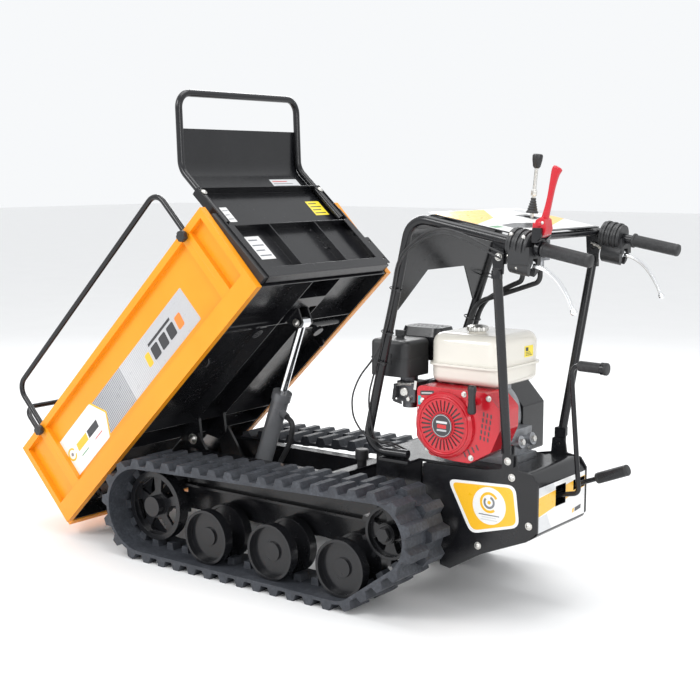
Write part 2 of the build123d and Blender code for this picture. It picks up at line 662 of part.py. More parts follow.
with BuildPart() as drive_lever:
    x, y, z = DRIVE_PIN
    bar((x, y, z - 9), (x, y, z + 9), 13)
    bent_bar([(x + 7, y, z), (816, y, z), (912, y, z + 39)], [40], 6.5)
    bar((906, y, z + 36.6), (988, y, z + 69.9), 14)
    bar((x, y, z - 10), (x, y, z + 10), 6 + FIT, Mode.SUBTRACT)
save(drive_lever.part, "drive_lever")


# ---------------------------------------------------------------- bed
with BuildPart() as floor:
    block((2, BED_LENGTH - 2), (-FLOOR_Y, FLOOR_Y), FLOOR_W)
    for y in (-FLOOR_Y, FLOOR_Y - 3, -66, 63):
        block((2, BED_LENGTH - 2), (y, y + 3), (FLANGE_W, FLOOR_W[0]))
    for u in (2, PIVOT_UW[0] - 40, PIVOT_UW[0] + 40, EYE_UW[0] - 37, BED_LENGTH - 5):
        block((u, u + 3), (-FLOOR_Y, FLOOR_Y), (FLANGE_W, FLOOR_W[0]))
    for side in MIRROR:
        pu, pw = PIVOT_UW
        plate([(pu - 60, FLANGE_W + 6), (pu + 60, FLANGE_W + 6), (pu + 18, pw - 14), (pu - 18, pw - 14)],
              between(side, 52, 62))
        block((pu - 60, pu + 60), between(side, 52, 66), (FLANGE_W, FLANGE_W + 6))
        eu, ew = EYE_UW
        plate([(eu - 34, FLANGE_W + 6), (eu + 34, FLANGE_W + 6), (eu + 14, ew - 14), (eu - 14, ew - 14)],
              between(side, 19, 25))
        block((eu - 37, eu + 37), between(side, 19, 30), (FLANGE_W, FLOOR_W[0]))
        for u in TIE_U[side]:
            bar((u, MIRROR[side] * 100, TIE_W), (u, MIRROR[side] * 291, TIE_W), TIE_R + 4)
    block((1014, 1060), (-66, 66), (FLANGE_W, FLANGE_W + 4))
    for u in (1014, 1056):
        block((u, u + 4), (-66, 66), (FLANGE_W, FLOOR_W[0]))
    for y in (-FRONT_TIE_Y, FRONT_TIE_Y):
        bar((4, y, TIE_W), (190, y, TIE_W), TIE_R + 4)
    for side in MIRROR:
        for u in TIE_U[side]:
            bar((u, MIRROR[side] * 99, TIE_W), (u, MIRROR[side] * 293, TIE_W), TIE_R + 0.4, Mode.SUBTRACT)
            bar((u, MIRROR[side] * 160, TIE_W - 13), (u, MIRROR[side] * 160, TIE_W - 26), 7)
            bar((u, MIRROR[side] * 160, TIE_W - 26), (u, MIRROR[side] * 160, TIE_W - 36), 18)
    for y in (-FRONT_TIE_Y, FRONT_TIE_Y):
        bar((1, y, TIE_W), (191, y, TIE_W), TIE_R + 0.4, Mode.SUBTRACT)
        bar((100, y, TIE_W - 13), (100, y, TIE_W - 26), 7)
        bar((100, y, TIE_W - 26), (100, y, TIE_W - 36), 18)
    for side in MIRROR:
        drum(PIVOT_UW, between(side, 50, 64), 8 + FIT, Mode.SUBTRACT)
    drum(EYE_UW, (-28, 28), 8)
save_on_bed(floor.part, "bed_floor")


def build_side_panel(side):
    out, back = PANEL_Y, PANEL_Y - PANEL_DEPTH
    with BuildPart() as panel:
        block((0, BED_LENGTH), between(side, back, out), (0, PANEL_HEIGHT))
        block((20, BED_LENGTH - 20), between(side, back + 3, out), (62, PANEL_HEIGHT - 22), Mode.SUBTRACT)
        block((3, BED_LENGTH - 3), between(side, back - 1, back + PANEL_DEPTH - 3), (3, 40), Mode.SUBTRACT)
        for u in POST_U:
            block((u - 20, u + 20), between(side, back, out - 2), (60, PANEL_HEIGHT - 20))
            bar((u, MIRROR[side] * (back + 11), 118), (u, MIRROR[side] * (back + 11), PANEL_HEIGHT + 1),
                RAIL_R + 0.3, Mode.SUBTRACT)
            bar((u, MIRROR[side] * (back + 8), 283), (u, MIRROR[side] * (out + 1), 283), 4 + FIT, Mode.SUBTRACT)
        for u in TIE_U[side]:
            bar((u, MIRROR[side] * 130, TIE_W), (u, MIRROR[side] * (out - 2), TIE_W), TIE_R)
    return panel.part


def build_side_rail(side):
    y = MIRROR[side] * (PANEL_Y - PANEL_DEPTH + 11)
    low, high = POST_U
    with BuildPart() as rail:
        bent_bar([(low, y, 128), (low, y, RAIL_TOP), (high, y, RAIL_TOP), (high, y, 128)], [42, 42], RAIL_R)
    return rail.part


def build_knob(side, u):
    with BuildPart() as knob:
        bar((u, MIRROR[side] * (PANEL_Y - PANEL_DEPTH + 20), 283), (u, MIRROR[side] * (PANEL_Y + 2), 283), 4)
        bar((u, MIRROR[side] * (PANEL_Y + 0.5), 283), (u, MIRROR[side] * (PANEL_Y + 6), 283), 10)
        bar((u, MIRROR[side] * (PANEL_Y + 6), 283), (u, MIRROR[side] * (PANEL_Y + 19), 283), 16)
        with BuildSketch(Plane.XZ.offset(-MIRROR[side] * (PANEL_Y + 12.5))) as flutes:
            with Locations((u, 283)):
                with PolarLocations(18.5, 6):
                    Circle(4.5)
        extrude(to_extrude=flutes.sketch, amount=8, both=True, mode=Mode.SUBTRACT)
    return knob.part


for side in MIRROR:
    save_on_bed(build_side_panel(side), f"side_panel_{side}")
    save_on_bed(build_side_rail(side), f"side_rail_{side}")
    for place, u in zip(("front", "rear"), POST_U):
        save_on_bed(build_knob(side, u), f"rail_knob_{side}_{place}")

FRONT_Y = PANEL_Y - PANEL_DEPTH - 2
with BuildPart() as front_panel:
    block((-24, -2), (-FRONT_Y, FRONT_Y), (0, PANEL_HEIGHT))
    block((-25, -5), (-FRONT_Y + 20, FRONT_Y - 20), (62, PANEL_HEIGHT - 22), Mode.SUBTRACT)
    for y in (-FRONT_POST_Y, FRONT_POST_Y):
        block((-22, -2), (y - 20, y + 20), (60, PANEL_HEIGHT - 20))
        bar((-13, y, 118), (-13, y, PANEL_HEIGHT + 1), RAIL_R + 0.3, Mode.SUBTRACT)
        bar((-21.8, y, 283), (-34, y, 283), 5)
        bar((-30, y, 283), (-42, y, 283), 15)
    for y in (-FRONT_TIE_Y, FRONT_TIE_Y):
        bar((-4, y, TIE_W), (180, y, TIE_W), TIE_R)
save_on_bed(front_panel.part, "front_panel")

with BuildPart() as front_rail:
    bent_bar([(-13, -FRONT_POST_Y, 128), (-13, -FRONT_POST_Y, RAIL_TOP), (-13, FRONT_POST_Y, RAIL_TOP),
              (-13, FRONT_POST_Y, 128)], [42, 42], RAIL_R)
save_on_bed(front_rail.part, "front_rail")

HANDLE_Y = HEAD_Y - 14
HANDLE_R = 10.5
HANDLE_U = 1161               # the handle's legs inside the upright headboard
LEAN = 3.8                    # the headboard leans forwards from its lower rear edge

with BuildPart() as headboard:
    hu = HEAD_U
    block((hu[0], hu[0] + 3), (-HEAD_Y, HEAD_Y), HEAD_W)
    for side in MIRROR:
        block(hu, between(side, HEAD_Y - 3, HEAD_Y), HEAD_W)
        block((hu[1] - 3, hu[1]), between(side, HEAD_Y - 24, HEAD_Y), (HEAD_W[0], 215))
        block(hu, between(side, 104, 107), (42, 215))
    for w in (HEAD_W[0], 212, HEAD_W[1] - 3):
        block(hu, (-HEAD_Y, HEAD_Y), (w, w + 3))
    block((hu[1] - 3, hu[1]), (-HEAD_Y, HEAD_Y), (HEAD_W[0], 44))
    block((hu[0], hu[1]), (-HEAD_Y, HEAD_Y), (41, 44))
    block((hu[1] - 8, hu[1] - 4), (HEAD_Y, HEAD_Y + 30), (22, 136))
    for w in (42, 116):
        bar((hu[1] - 10, HEAD_Y + 18, w), (hu[1] - 2, HEAD_Y + 18, w), 5, Mode.SUBTRACT)
    for side in MIRROR:
        foot = (HANDLE_U, MIRROR[side] * HANDLE_Y)
        bar((*foot, 225), (*foot, HEAD_W[1] + 5), HANDLE_R + 0.3, Mode.SUBTRACT)
save_on_bed(headboard.part.rotate(Axis((HEAD_U[1], 0, HEAD_W[0]), (0, 1, 0)), -LEAN), "headboard")


def leaned(u, w):
    """Where a point of the upright headboard goes when it leans."""
    c, t = cos(radians(LEAN)), sin(radians(LEAN))
    du, dw = u - HEAD_U[1], w - HEAD_W[0]
    return HEAD_U[1] + du * c - dw * t, HEAD_W[0] + du * t + dw * c


with BuildPart() as handle:
    runs = [leaned(HANDLE_U, 230), leaned(HANDLE_U, 462), (1277, 621)]
    route = [(u, -HANDLE_Y, w) for u, w in runs] + [(u, HANDLE_Y, w) for u, w in reversed(runs)]
    bent_bar(route, [60, 44, 44, 60], HANDLE_R)
    with BuildLine(Plane.XZ) as sheet_line:
        FilletPolyline(leaned(1149, 378), leaned(1149, 466), (1203, 552), radius=60)
    with BuildSketch(Plane(origin=sheet_line.line @ 0, x_dir=(0, 1, 0), z_dir=sheet_line.line % 0)) as strip:
        Rectangle(2 * HANDLE_Y - 6, 2.5)
    sweep(sections=strip.sketch, path=sheet_line.line)
save_on_bed(handle.part, "headboard_handle")


# ---------------------------------------------------------------- tipping cylinder
EYE = Vector(EYE_UW[0], 0, EYE_UW[1]).rotate(Axis.Y, -TILT) + Vector(BED_FRONT[0], 0, BED_FRONT[1])
BASE = Vector(BASE_AT[0], 0, BASE_AT[1])
ALONG = (EYE - BASE).normalized()
BARREL_TOP = EYE - ALONG * ROD_SHOWN
print("cylinder eye", round(EYE.X, 1), round(EYE.Z, 1), "length", round((EYE - BASE).length, 1))

PISTON = 290                  # from the lower pivot to the piston, bed tipped


def on_cylinder(along, out, y):
    """A point by its distance along the cylinder, out to the rear of it, and across."""
    return BASE + ALONG * along + Vector(ALONG.Z, 0, -ALONG.X) * out + Vector(0, y, 0)


with BuildPart() as rod:
    bar(EYE - ALONG * 10, on_cylinder(PISTON, 0, 0), ROD_R)
    bar(on_cylinder(PISTON, 0, 0), on_cylinder(PISTON + 30, 0, 0), BARREL_R - 7)
    drum((EYE.X, EYE.Z), (-17.5, 17.5), 18)
    drum((EYE.X, EYE.Z), (-19, 19), 8 + FIT, Mode.SUBTRACT)
save(rod.part, "cylinder_rod")

PORT = (BARREL_TOP - BASE).length - 58
with BuildPart() as barrel:
    bar(on_cylinder(34, 0, 0), BARREL_TOP, BARREL_R)
    bar(BARREL_TOP - ALONG * 26, BARREL_TOP, BARREL_R + 3.5)
    bar(on_cylinder(60, 0, 0), BARREL_TOP - ALONG * 30, BARREL_R - 6, Mode.SUBTRACT)
    bar(on_cylinder(60, 0, 0), BARREL_TOP + ALONG, ROD_R + FIT, Mode.SUBTRACT)
    drum((BASE.X, BASE.Z), (-28, 28), 30)
    bar(on_cylinder(20, 0, 0), on_cylinder(40, 0, 0), BARREL_R)
    bar(on_cylinder(PORT, 24, -7), on_cylinder(PORT, 50, -15), 11)
    drum((BASE.X, BASE.Z), (-29, 29), OPEN_EYE_R, Mode.SUBTRACT)
save(barrel.part, "cylinder_barrel")


def hose(points, radius):
    """A hose along its route, with the largest arcs that its runs allow; prints its radii."""
    runs = [(Vector(*b) - Vector(*a)) for a, b in zip(points, points[1:])]
    radii = []
    for before, after in zip(runs, runs[1:]):
        turn = radians(before.get_angle(after))
        radii.append(0.45 * min(before.length, after.length) / (sin(turn / 2) / cos(turn / 2)))
    length = bent_bar(points, radii, radius)
    print("hose radii", [round(r) for r in radii], "length", round(length), "turns ok")
    return length, pi * radius**2 * length


with BuildPart() as cylinder_hose:
    hose([on_cylinder(*p) for p in ((PORT, 50.5, -15.2), (PORT - 2, 88, -26), (PORT - 66, 96, -24),
                                    (PORT - 140, 70, -8), (PORT - 215, 52, 8), (PORT - 275, 50, 6))], 8)
save(cylinder_hose.part, "cylinder_hose")


# ---------------------------------------------------------------- hoses and cables on the frame
def beside_leg(z, side, out, rear):
    x, y, _ = on_leg(z, side)
    return (x + rear, y + MIRROR[side] * out, z)


with BuildPart() as hoses:
    for k, (out, rear) in enumerate(((-4, 24), (-24, 14))):
        hose([(636 + 54 * k, 130, 904.8), (636 + 54 * k, 131, 866), (570 + 10 * k, 160, 842 - 12 * k),
              beside_leg(790, "right", out, rear), beside_leg(700, "right", out - 2, rear + 4),
              beside_leg(600, "right", out, rear), beside_leg(500, "right", out - 6, rear + 12),
              (386 + 22 * k, 134, 430), (404 + 18 * k, 96, 408)], 7)
save(hoses.part, "hydraulic_hoses")

with BuildPart() as cables:
    tied_down = [beside_leg(640, "left", 19, -6), beside_leg(560, "left", 18, -14), (360, -190, 470),
                 (372, -188, 436), (404, -162, 434), (428, -122, 408)]
    bowed_out = [beside_leg(670, "left", 24, -14), (346, -230, 618), (322, -232, 560), (322, -226, 504),
                 (342, -212, 462), (370, -196, 440), (402, -172, 430), (428, -136, 408)]
    for k, tail in enumerate((tied_down, bowed_out)):
        drop = 12 * k
        hose([(809, -270 - 6 * k, 966 - drop), (766, -277, 984 - drop), (700, -276, 1012 - drop),
              (630, -272, 1026 - drop), (566, -264, 1006 - drop), beside_leg(945, "left", 20, -4 + 7 * k),
              beside_leg(850, "left", 19, 7 * k), beside_leg(740, "left", 20, -2 + 7 * k), *tail], 2.5)
save(cables.part, "control_cables")


# ---------------------------------------------------------------- fasteners
def bolt(start, way, head_r, head_h, shank_r, shank):
    """A hexagon bolt whose head's underside is at the start point."""
    way = Vector(*way).normalized()
    with BuildSketch(Plane(origin=start, z_dir=-way)) as hexagon:
        RegularPolygon(head_r, 6)
    extrude(to_extrude=hexagon.sketch, amount=head_h)
    bar(start, Vector(*start) + way * shank, shank_r)


with BuildPart() as bolts:
    for side in MIRROR:
        s = MIRROR[side]
        for x, z in PLATE_BOLTS:
            bolt((x, s * (PLATE_Y[1] + 0.05), z), (0, -s, 0), 11, 7, 4, 5.5)
        bolt((757, s * 142.7, 426), (0, -s, 0), 11, 7, 4.9, 12)
        bolt((788, s * 257.6, 958.5), (0, -s, 0), 10, 7, 4.9, 14)
        bolt((PIVOT_AT[0], s * 74.1, PIVOT_AT[1]), (0, -s, 0), 14, 9, 8, 26)
save(bolts.part, "frame_bolts")
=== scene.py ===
"""Looks of the tracked power wheelbarrow: materials, prints, fasteners, small parts, light and camera.

Every place is in metres in the row frame: +X towards the operator, +Y to the machine's right, +Z up.
"""
import math

import bmesh
import bpy
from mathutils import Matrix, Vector
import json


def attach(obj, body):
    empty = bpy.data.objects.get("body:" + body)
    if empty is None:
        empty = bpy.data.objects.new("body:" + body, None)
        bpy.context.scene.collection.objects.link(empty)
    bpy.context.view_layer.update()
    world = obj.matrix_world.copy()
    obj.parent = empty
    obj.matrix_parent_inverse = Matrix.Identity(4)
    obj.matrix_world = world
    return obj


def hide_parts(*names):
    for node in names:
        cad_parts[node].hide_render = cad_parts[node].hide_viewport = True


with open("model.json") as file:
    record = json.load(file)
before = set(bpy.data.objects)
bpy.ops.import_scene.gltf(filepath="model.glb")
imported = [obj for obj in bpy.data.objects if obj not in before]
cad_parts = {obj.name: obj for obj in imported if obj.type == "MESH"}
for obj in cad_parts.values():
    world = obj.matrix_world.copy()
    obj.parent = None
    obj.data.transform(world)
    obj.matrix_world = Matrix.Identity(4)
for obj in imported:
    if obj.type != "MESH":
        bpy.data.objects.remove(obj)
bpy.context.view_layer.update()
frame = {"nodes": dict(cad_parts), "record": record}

MM = 0.001
MID_X = 0.031                 # how far the drawing's x = 0 lies behind the row frame's
TILT = math.radians(44.4)
BED_FRONT = Vector((-0.755 + MID_X, 0, 0.0496))
U = Vector((math.cos(TILT), 0, math.sin(TILT)))
W = Vector((-math.sin(TILT), 0, math.cos(TILT)))
Y = Vector((0, 1, 0))
SIDES = {"left": -1, "right": 1}


def at(x, y, z):
    """A drawing point in millimetres as a place in the row frame."""
    return Vector((x * MM + MID_X, y * MM, z * MM))


def on_bed(u, y, w):
    """A point of the bed's own frame, in millimetres: u rearwards, w up from the panels' lower edge."""
    return BED_FRONT + U * (u * MM) + Y * (y * MM) + W * (w * MM)


# ---------------------------------------------------------------- materials
class Shader:
    """A small builder round one material's node tree."""

    def __init__(self, name, **values):
        self.mat = bpy.data.materials.new(name)
        self.mat.use_nodes = True
        self.tree = self.mat.node_tree
        self.bsdf = self.tree.nodes["Principled BSDF"]
        for socket, value in values.items():
            self.bsdf.inputs[socket.replace("_", " ")].default_value = value
        self.place = self.add("ShaderNodeTexCoord").outputs["Object"]

    def add(self, kind, **values):
        node = self.tree.nodes.new(kind)
        for key, value in values.items():
            if key in node.inputs:
                node.inputs[key].default_value = value
            else:
                setattr(node, key, value)
        return node

    def link(self, out, node, socket):
        self.tree.links.new(out, node.inputs[socket])

    def noise(self, scale, detail=4.0, rough=0.6, stretch=None):
        node = self.add("ShaderNodeTexNoise", Scale=scale, Detail=detail, Roughness=rough)
        where = self.place
        if stretch:
            mapping = self.add("ShaderNodeMapping", Scale=stretch)
            self.link(where, mapping, "Vector")
            where = mapping.outputs["Vector"]
        self.link(where, node, "Vector")
        return node.outputs["Fac"]

    def ramp(self, fac, low, high, start=0.0, end=1.0):
        node = self.add("ShaderNodeMapRange")
        for key, value in (("From Min", low), ("From Max", high), ("To Min", start), ("To Max", end)):
            node.inputs[key].default_value = value
        self.link(fac, node, "Value")
        return node.outputs["Result"]

    def math(self, how, a, b):
        node = self.add("ShaderNodeMath", operation=how)
        for k, value in enumerate((a, b)):
            if isinstance(value, (int, float)):
                node.inputs[k].default_value = value
            else:
                self.tree.links.new(value, node.inputs[k])
        return node.outputs[0]

    def mix(self, fac, a, b):
        node = self.add("ShaderNodeMix", data_type="RGBA")
        for key, value in ((6, a), (7, b)):
            if isinstance(value, tuple):
                node.inputs[key].default_value = (*value[:3], 1)
            else:
                self.tree.links.new(value, node.inputs[key])
        if isinstance(fac, (int, float)):
            node.inputs[0].default_value = fac
        else:
            self.tree.links.new(fac, node.inputs[0])
        return node.outputs[2]

    def colour(self, out):
        self.link(out, self.bsdf, "Base Color")

    def rough(self, out):
        self.link(out, self.bsdf, "Roughness")

    def upward(self, low=0.4, high=0.95):
        """How far the surface looks up, in the object's own frame, for settled dust."""
        coords = self.add("ShaderNodeTexCoord").outputs["Normal"]
        split = self.add("ShaderNodeSeparateXYZ")
        self.link(coords, split, "Vector")
        return self.ramp(split.outputs["Z"], low, high)

    def bump(self, height, strength, distance=0.001, soft_edge=0.0):
        node = self.add("ShaderNodeBump", Strength=strength, Distance=distance)
        self.link(height, node, "Height")
        if soft_edge:
            bevel = self.add("ShaderNodeBevel", samples=4)
            bevel.inputs["Radius"].default_value = soft_edge
            self.link(bevel.outputs["Normal"], node, "Normal")
        self.link(node.outputs["Normal"], self.bsdf, "Normal")


def coat(name, colour, rough, peel=0.12, grain=900.0, soft_edge=0.0012, dust=0.0,
         dust_colour=(0.45, 0.42, 0.38),
         variation=0.12, coat_weight=0.0, metallic=0.0, blotch=6.0, specular=0.5):
    """Paint, powder coat or moulded plastic: slight mottling, orange peel and settled dust."""
    s = Shader(name, Metallic=metallic, Coat_Weight=coat_weight, Coat_Roughness=0.12,
               Specular_IOR_Level=specular)
    big = s.noise(blotch, 5.0)
    dark = tuple(c * (1 - variation) for c in colour)
    light = tuple(min(1.0, c * (1 + variation) + 0.004) for c in colour)
    tone = s.mix(s.ramp(big, 0.3, 0.7), dark, light)
    if dust:
        film = s.math("MULTIPLY", s.upward(), s.ramp(s.noise(22, 8.0, 0.7), 0.42, 0.75))
        tone = s.mix(s.math("MULTIPLY", film, dust), tone, dust_colour)
    s.colour(tone)
    scuff = s.noise(60, 8.0, 0.72)
    s.rough(s.ramp(s.math("ADD", s.math("MULTIPLY", scuff, 0.6), s.math("MULTIPLY", big, 0.4)), 0.3, 0.7,
                   max(0.02, rough - 0.08), min(1.0, rough + 0.12)))
    s.bump(s.noise(grain, 3.0), peel, 0.0006, soft_edge)
    return s.mat


def metal(name, colour, rough, brushed=None, cast=0.0, soft_edge=0.0008, stain=(0.35, 0.33, 0.3),
          stains=0.25):
    """Bare or plated metal, brushed along one axis or cast."""
    s = Shader(name, Metallic=1.0)
    big = s.noise(35, 6.0, 0.7)
    s.colour(s.mix(s.math("MULTIPLY", s.ramp(big, 0.5, 0.8), stains), colour, stain))
    lines = s.noise(160, 3.0, 0.5, brushed) if brushed else s.noise(240, 6.0, 0.7)
    s.rough(s.ramp(lines, 0.3, 0.7, max(0.02, rough - 0.07), rough + 0.14))
    s.bump(s.noise(420 if cast else 900, 5.0), cast or 0.05, 0.0008 if cast else 0.0003, soft_edge)
    return s.mat


def rubber(name, colour, rough, dust=0.35, dust_colour=(0.34, 0.35, 0.37), grain=260.0, relief=0.35):
    s = Shader(name)
    film = s.ramp(s.noise(14, 8.0, 0.72), 0.35, 0.72)
    fine = s.ramp(s.noise(120, 6.0, 0.7), 0.35, 0.7)
    amount = s.math("MULTIPLY", s.math("MULTIPLY", film, fine), dust)
    s.colour(s.mix(amount, colour, dust_colour))
    s.rough(s.ramp(s.noise(40, 6.0), 0.3, 0.7, rough - 0.1, min(1.0, rough + 0.1)))
    s.bump(s.noise(grain, 8.0, 0.65), relief, 0.0008, 0.0025)
    return s.mat


ORANGE = (0.84, 0.30, 0.003)
BLACK = (0.0085, 0.0088, 0.0105)
MATERIALS = {
    "panel_orange": coat("orange_powder_coat", ORANGE, 0.34, peel=0.16, variation=0.04, dust=0.02,
                         coat_weight=0.08),
    "black_steel": coat("black_powder_coat", BLACK, 0.2, peel=0.07, dust=0.0, variation=0.15, specular=0.42),
    "track_rubber": rubber("track_rubber", (0.024, 0.027, 0.034), 0.6, dust=0.5,
                           dust_colour=(0.17, 0.185, 0.215)),
    "rubber": rubber("soft_rubber", (0.014, 0.014, 0.015), 0.5, dust=0.12, relief=0.2),
    "black_plastic": coat("black_plastic", (0.017, 0.0175, 0.019), 0.4, peel=0.3, grain=1400, dust=0.08,
                          variation=0.2),
    "red_plastic": coat("red_paint", (0.50, 0.007, 0.018), 0.2, peel=0.05, variation=0.06, coat_weight=0.25),
    "tank_white": coat("tank_enamel", (0.74, 0.71, 0.64), 0.16, peel=0.04, variation=0.03, coat_weight=0.5),
    "cast_aluminium": metal("cast_aluminium", (0.42, 0.43, 0.45), 0.42, cast=0.45, stains=0.6,
                            stain=(0.12, 0.115, 0.11)),
    "polished_aluminium": metal("polished_aluminium", (0.84, 0.85, 0.86), 0.14, stains=0.08),
    "chrome_rod": metal("chrome_rod", (0.80, 0.81, 0.83), 0.08, stains=0.05),
    "grey_paint": coat("grey_enamel", (0.17, 0.175, 0.185), 0.3, peel=0.1, dust=0.1, coat_weight=0.2),
    "zinc": metal("zinc_plate", (0.70, 0.69, 0.66), 0.28, stains=0.3, stain=(0.5, 0.45, 0.33)),
    "gearbox_grey": coat("gearbox_paint", (0.03, 0.031, 0.033), 0.45, peel=0.4, grain=500, dust=0.15,
                         variation=0.3),
}
DARK_CASTING = metal("dark_casting", (0.13, 0.132, 0.14), 0.4, cast=0.4, stains=0.5, stain=(0.05, 0.05, 0.05))
NODE_SLOT = {part["node"]: part["material_slot"] for part in frame["record"]["subparts"]}
for node, obj in frame["nodes"].items():
    obj.data.materials.clear()
    obj.data.materials.append(MATERIALS.get(NODE_SLOT[node], MATERIALS["black_steel"]))


frame["nodes"]["carburettor"].data.materials[0] = DARK_CASTING


# ---------------------------------------------------------------- shapes
def piece(name, verts, faces, body, slot, mat=None, smooth=30):
    """A mesh in the row frame that moves with a CAD body."""
    mesh = bpy.data.meshes.new(name)
    mesh.from_pydata([tuple(v) for v in verts], [], faces)
    mesh.validate()
    work = bmesh.new()
    work.from_mesh(mesh)
    bmesh.ops.recalc_face_normals(work, faces=work.faces)
    work.to_mesh(mesh)
    work.free()
    obj = bpy.data.objects.new(name, mesh)
    bpy.context.collection.objects.link(obj)
    mesh.materials.append(mat or MATERIALS[slot])
    if smooth:
        mesh.shade_smooth()
        mesh.set_sharp_from_angle(angle=math.radians(smooth))
    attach(obj, body)
    return obj


def merged(parts):
    """Joins lists of (verts, faces) into one."""
    verts, faces = [], []
    for v, f in parts:
        start = len(verts)
        verts += v
        faces += [tuple(i + start for i in face) for face in f]
    return verts, faces


def angles(steps):
    """The angles of one turn, evenly spaced."""
    return [2 * math.pi * k / steps for k in range(steps)]


def skinned(rows, caps=True):
    """A surface through rings of places, all with the same number, closed at both ends if asked."""
    n, last = len(rows[0]), len(rows) - 1
    verts = [place for row in rows for place in row]
    faces = [(i * n + k, i * n + (k + 1) % n, (i + 1) * n + (k + 1) % n, (i + 1) * n + k)
             for i in range(last) for k in range(n)]
    if caps:
        faces += [tuple(range(n - 1, -1, -1)), tuple(range(last * n, (last + 1) * n))]
    return verts, faces


def turned(centre, axis, profile, steps=32):
    """A lathed solid: profile is (radius, distance along the axis) pairs, in metres."""
    axis = Vector(axis).normalized()
    side = axis.orthogonal().normalized()
    other = axis.cross(side)
    return skinned([[centre + axis * h + (side * math.cos(a) + other * math.sin(a)) * r
                     for a in angles(steps)]
                    for r, h in profile])


def smooth_path(points, steps=8):
    """A Catmull-Rom curve through the points."""
    pts = [points[0] * 2 - points[1], *points, points[-1] * 2 - points[-2]]
    out = []
    for a, b, c, d in zip(pts, pts[1:], pts[2:], pts[3:]):
        for k in range(steps):
            t = k / steps
            out.append(0.5 * (2 * b + (c - a) * t + (2 * a - 5 * b + 4 * c - d) * t * t
                              + (3 * b - a - 3 * c + d) * t**3))
    return out + [points[-1]]


def tube(points, radius, steps=14, caps=True):
    """A round tube along a path; radius may be a list with one value per point."""
    n = len(points)
    radii = radius if isinstance(radius, list) else [radius] * n
    ways = [(points[min(i + 1, n - 1)] - points[max(i - 1, 0)]).normalized() for i in range(n)]
    side = ways[0].orthogonal().normalized()
    rows = []
    for point, way, r in zip(points, ways, radii):
        side = (side - way * side.dot(way)).normalized()
        other = way.cross(side)
        rows.append([point + (side * math.cos(a) + other * math.sin(a)) * r for a in angles(steps)])
    return skinned(rows, caps)


def blade(path, half_sizes, power, around):
    """A solid along a path; half_sizes(t), t from 0 to 1, gives its rounded section's half width and depth."""
    last = len(path) - 1
    rows = []
    for i, place in enumerate(path):
        way = (path[min(i + 1, last)] - path[max(i - 1, 0)]).normalized()
        across = way.cross(Y).normalized()
        wide, deep = half_sizes(i / last)
        row = []
        for a in angles(around):
            c, d = math.cos(a), math.sin(a)
            squared = (abs(c) ** power + abs(d) ** power) ** (-1 / power)
            row.append(place + Y * (c * squared * wide) + across * (d * squared * deep))
        rows.append(row)
    return skinned(rows)


def slab(outline, thick):
    """A flat sheet from a closed outline of places; its thickness goes along the vector thick."""
    n = len(outline)
    verts = [*outline, *[p + thick for p in outline]]
    faces = [tuple(range(n - 1, -1, -1)), tuple(range(n, 2 * n))]
    faces += [(i, (i + 1) % n, n + (i + 1) % n, n + i) for i in range(n)]
    return verts, faces


def brick(centre, x, y, z):
    """A box given by its centre and three half-edge vectors."""
    corners = [centre + x * a + y * b + z * c for a in (-1, 1) for b in (-1, 1) for c in (-1, 1)]
    return corners, [(0, 1, 3, 2), (4, 6, 7, 5), (0, 4, 5, 1), (2, 3, 7, 6), (0, 2, 6, 4), (1, 5, 7, 3)]


def rounded(corners, radius, steps=5):
    """Rounds the corners of a flat outline of (a, b) pairs."""
    out = []
    n = len(corners)
    for i in range(n):
        p, q, r = (Vector(corners[(i + k) % n]) for k in (-1, 0, 1))
        to_p, to_r = (p - q), (r - q)
        cut = min(radius, to_p.length * 0.45, to_r.length * 0.45)
        a, b = q + to_p.normalized() * cut, q + to_r.normalized() * cut
        for k in range(steps + 1):
            t = k / steps
            out.append(a * (1 - t) ** 2 + q * 2 * t * (1 - t) + b * t**2)
    return out


class Face:
    """A flat place to put printed sheets on: an origin, two directions and the outward normal."""

    def __init__(self, origin, right, up, body):
        self.origin, self.right, self.up = origin, Vector(right).normalized(), Vector(up).normalized()
        self.out = self.right.cross(self.up).normalized()
        self.body = body

    def place(self, a, b, lift=0.0):
        return self.origin + self.right * (a * MM) + self.up * (b * MM) + self.out * (lift * MM)

    def sheet(self, name, corners, layer, slot, mat, radius=0.0):
        """A thin printed sheet; layers are stacked outwards, 0.25 mm each."""
        outline = rounded(corners, radius) if radius else [Vector(c) for c in corners]
        points = [self.place(p[0], p[1], 0.05 + 0.25 * layer) for p in outline]
        verts, faces = slab(points, self.out * (0.25 * MM))
        return piece(name, verts, faces, self.body, slot, mat, smooth=0)


def circle(a, b, radius, steps=48, start=0.0, end=2 * math.pi):
    return [(a + radius * math.cos(start + (end - start) * k / steps),
             b + radius * math.sin(start + (end - start) * k / steps)) for k in range(steps)]


def ring(a, b, inner, outer, start, end, steps=28):
    """A curved band as an outline."""
    turn = [start + (end - start) * k / steps for k in range(steps + 1)]
    return ([(a + outer * math.cos(t), b + outer * math.sin(t)) for t in turn]
            + [(a + inner * math.cos(t), b + inner * math.sin(t)) for t in reversed(turn)])


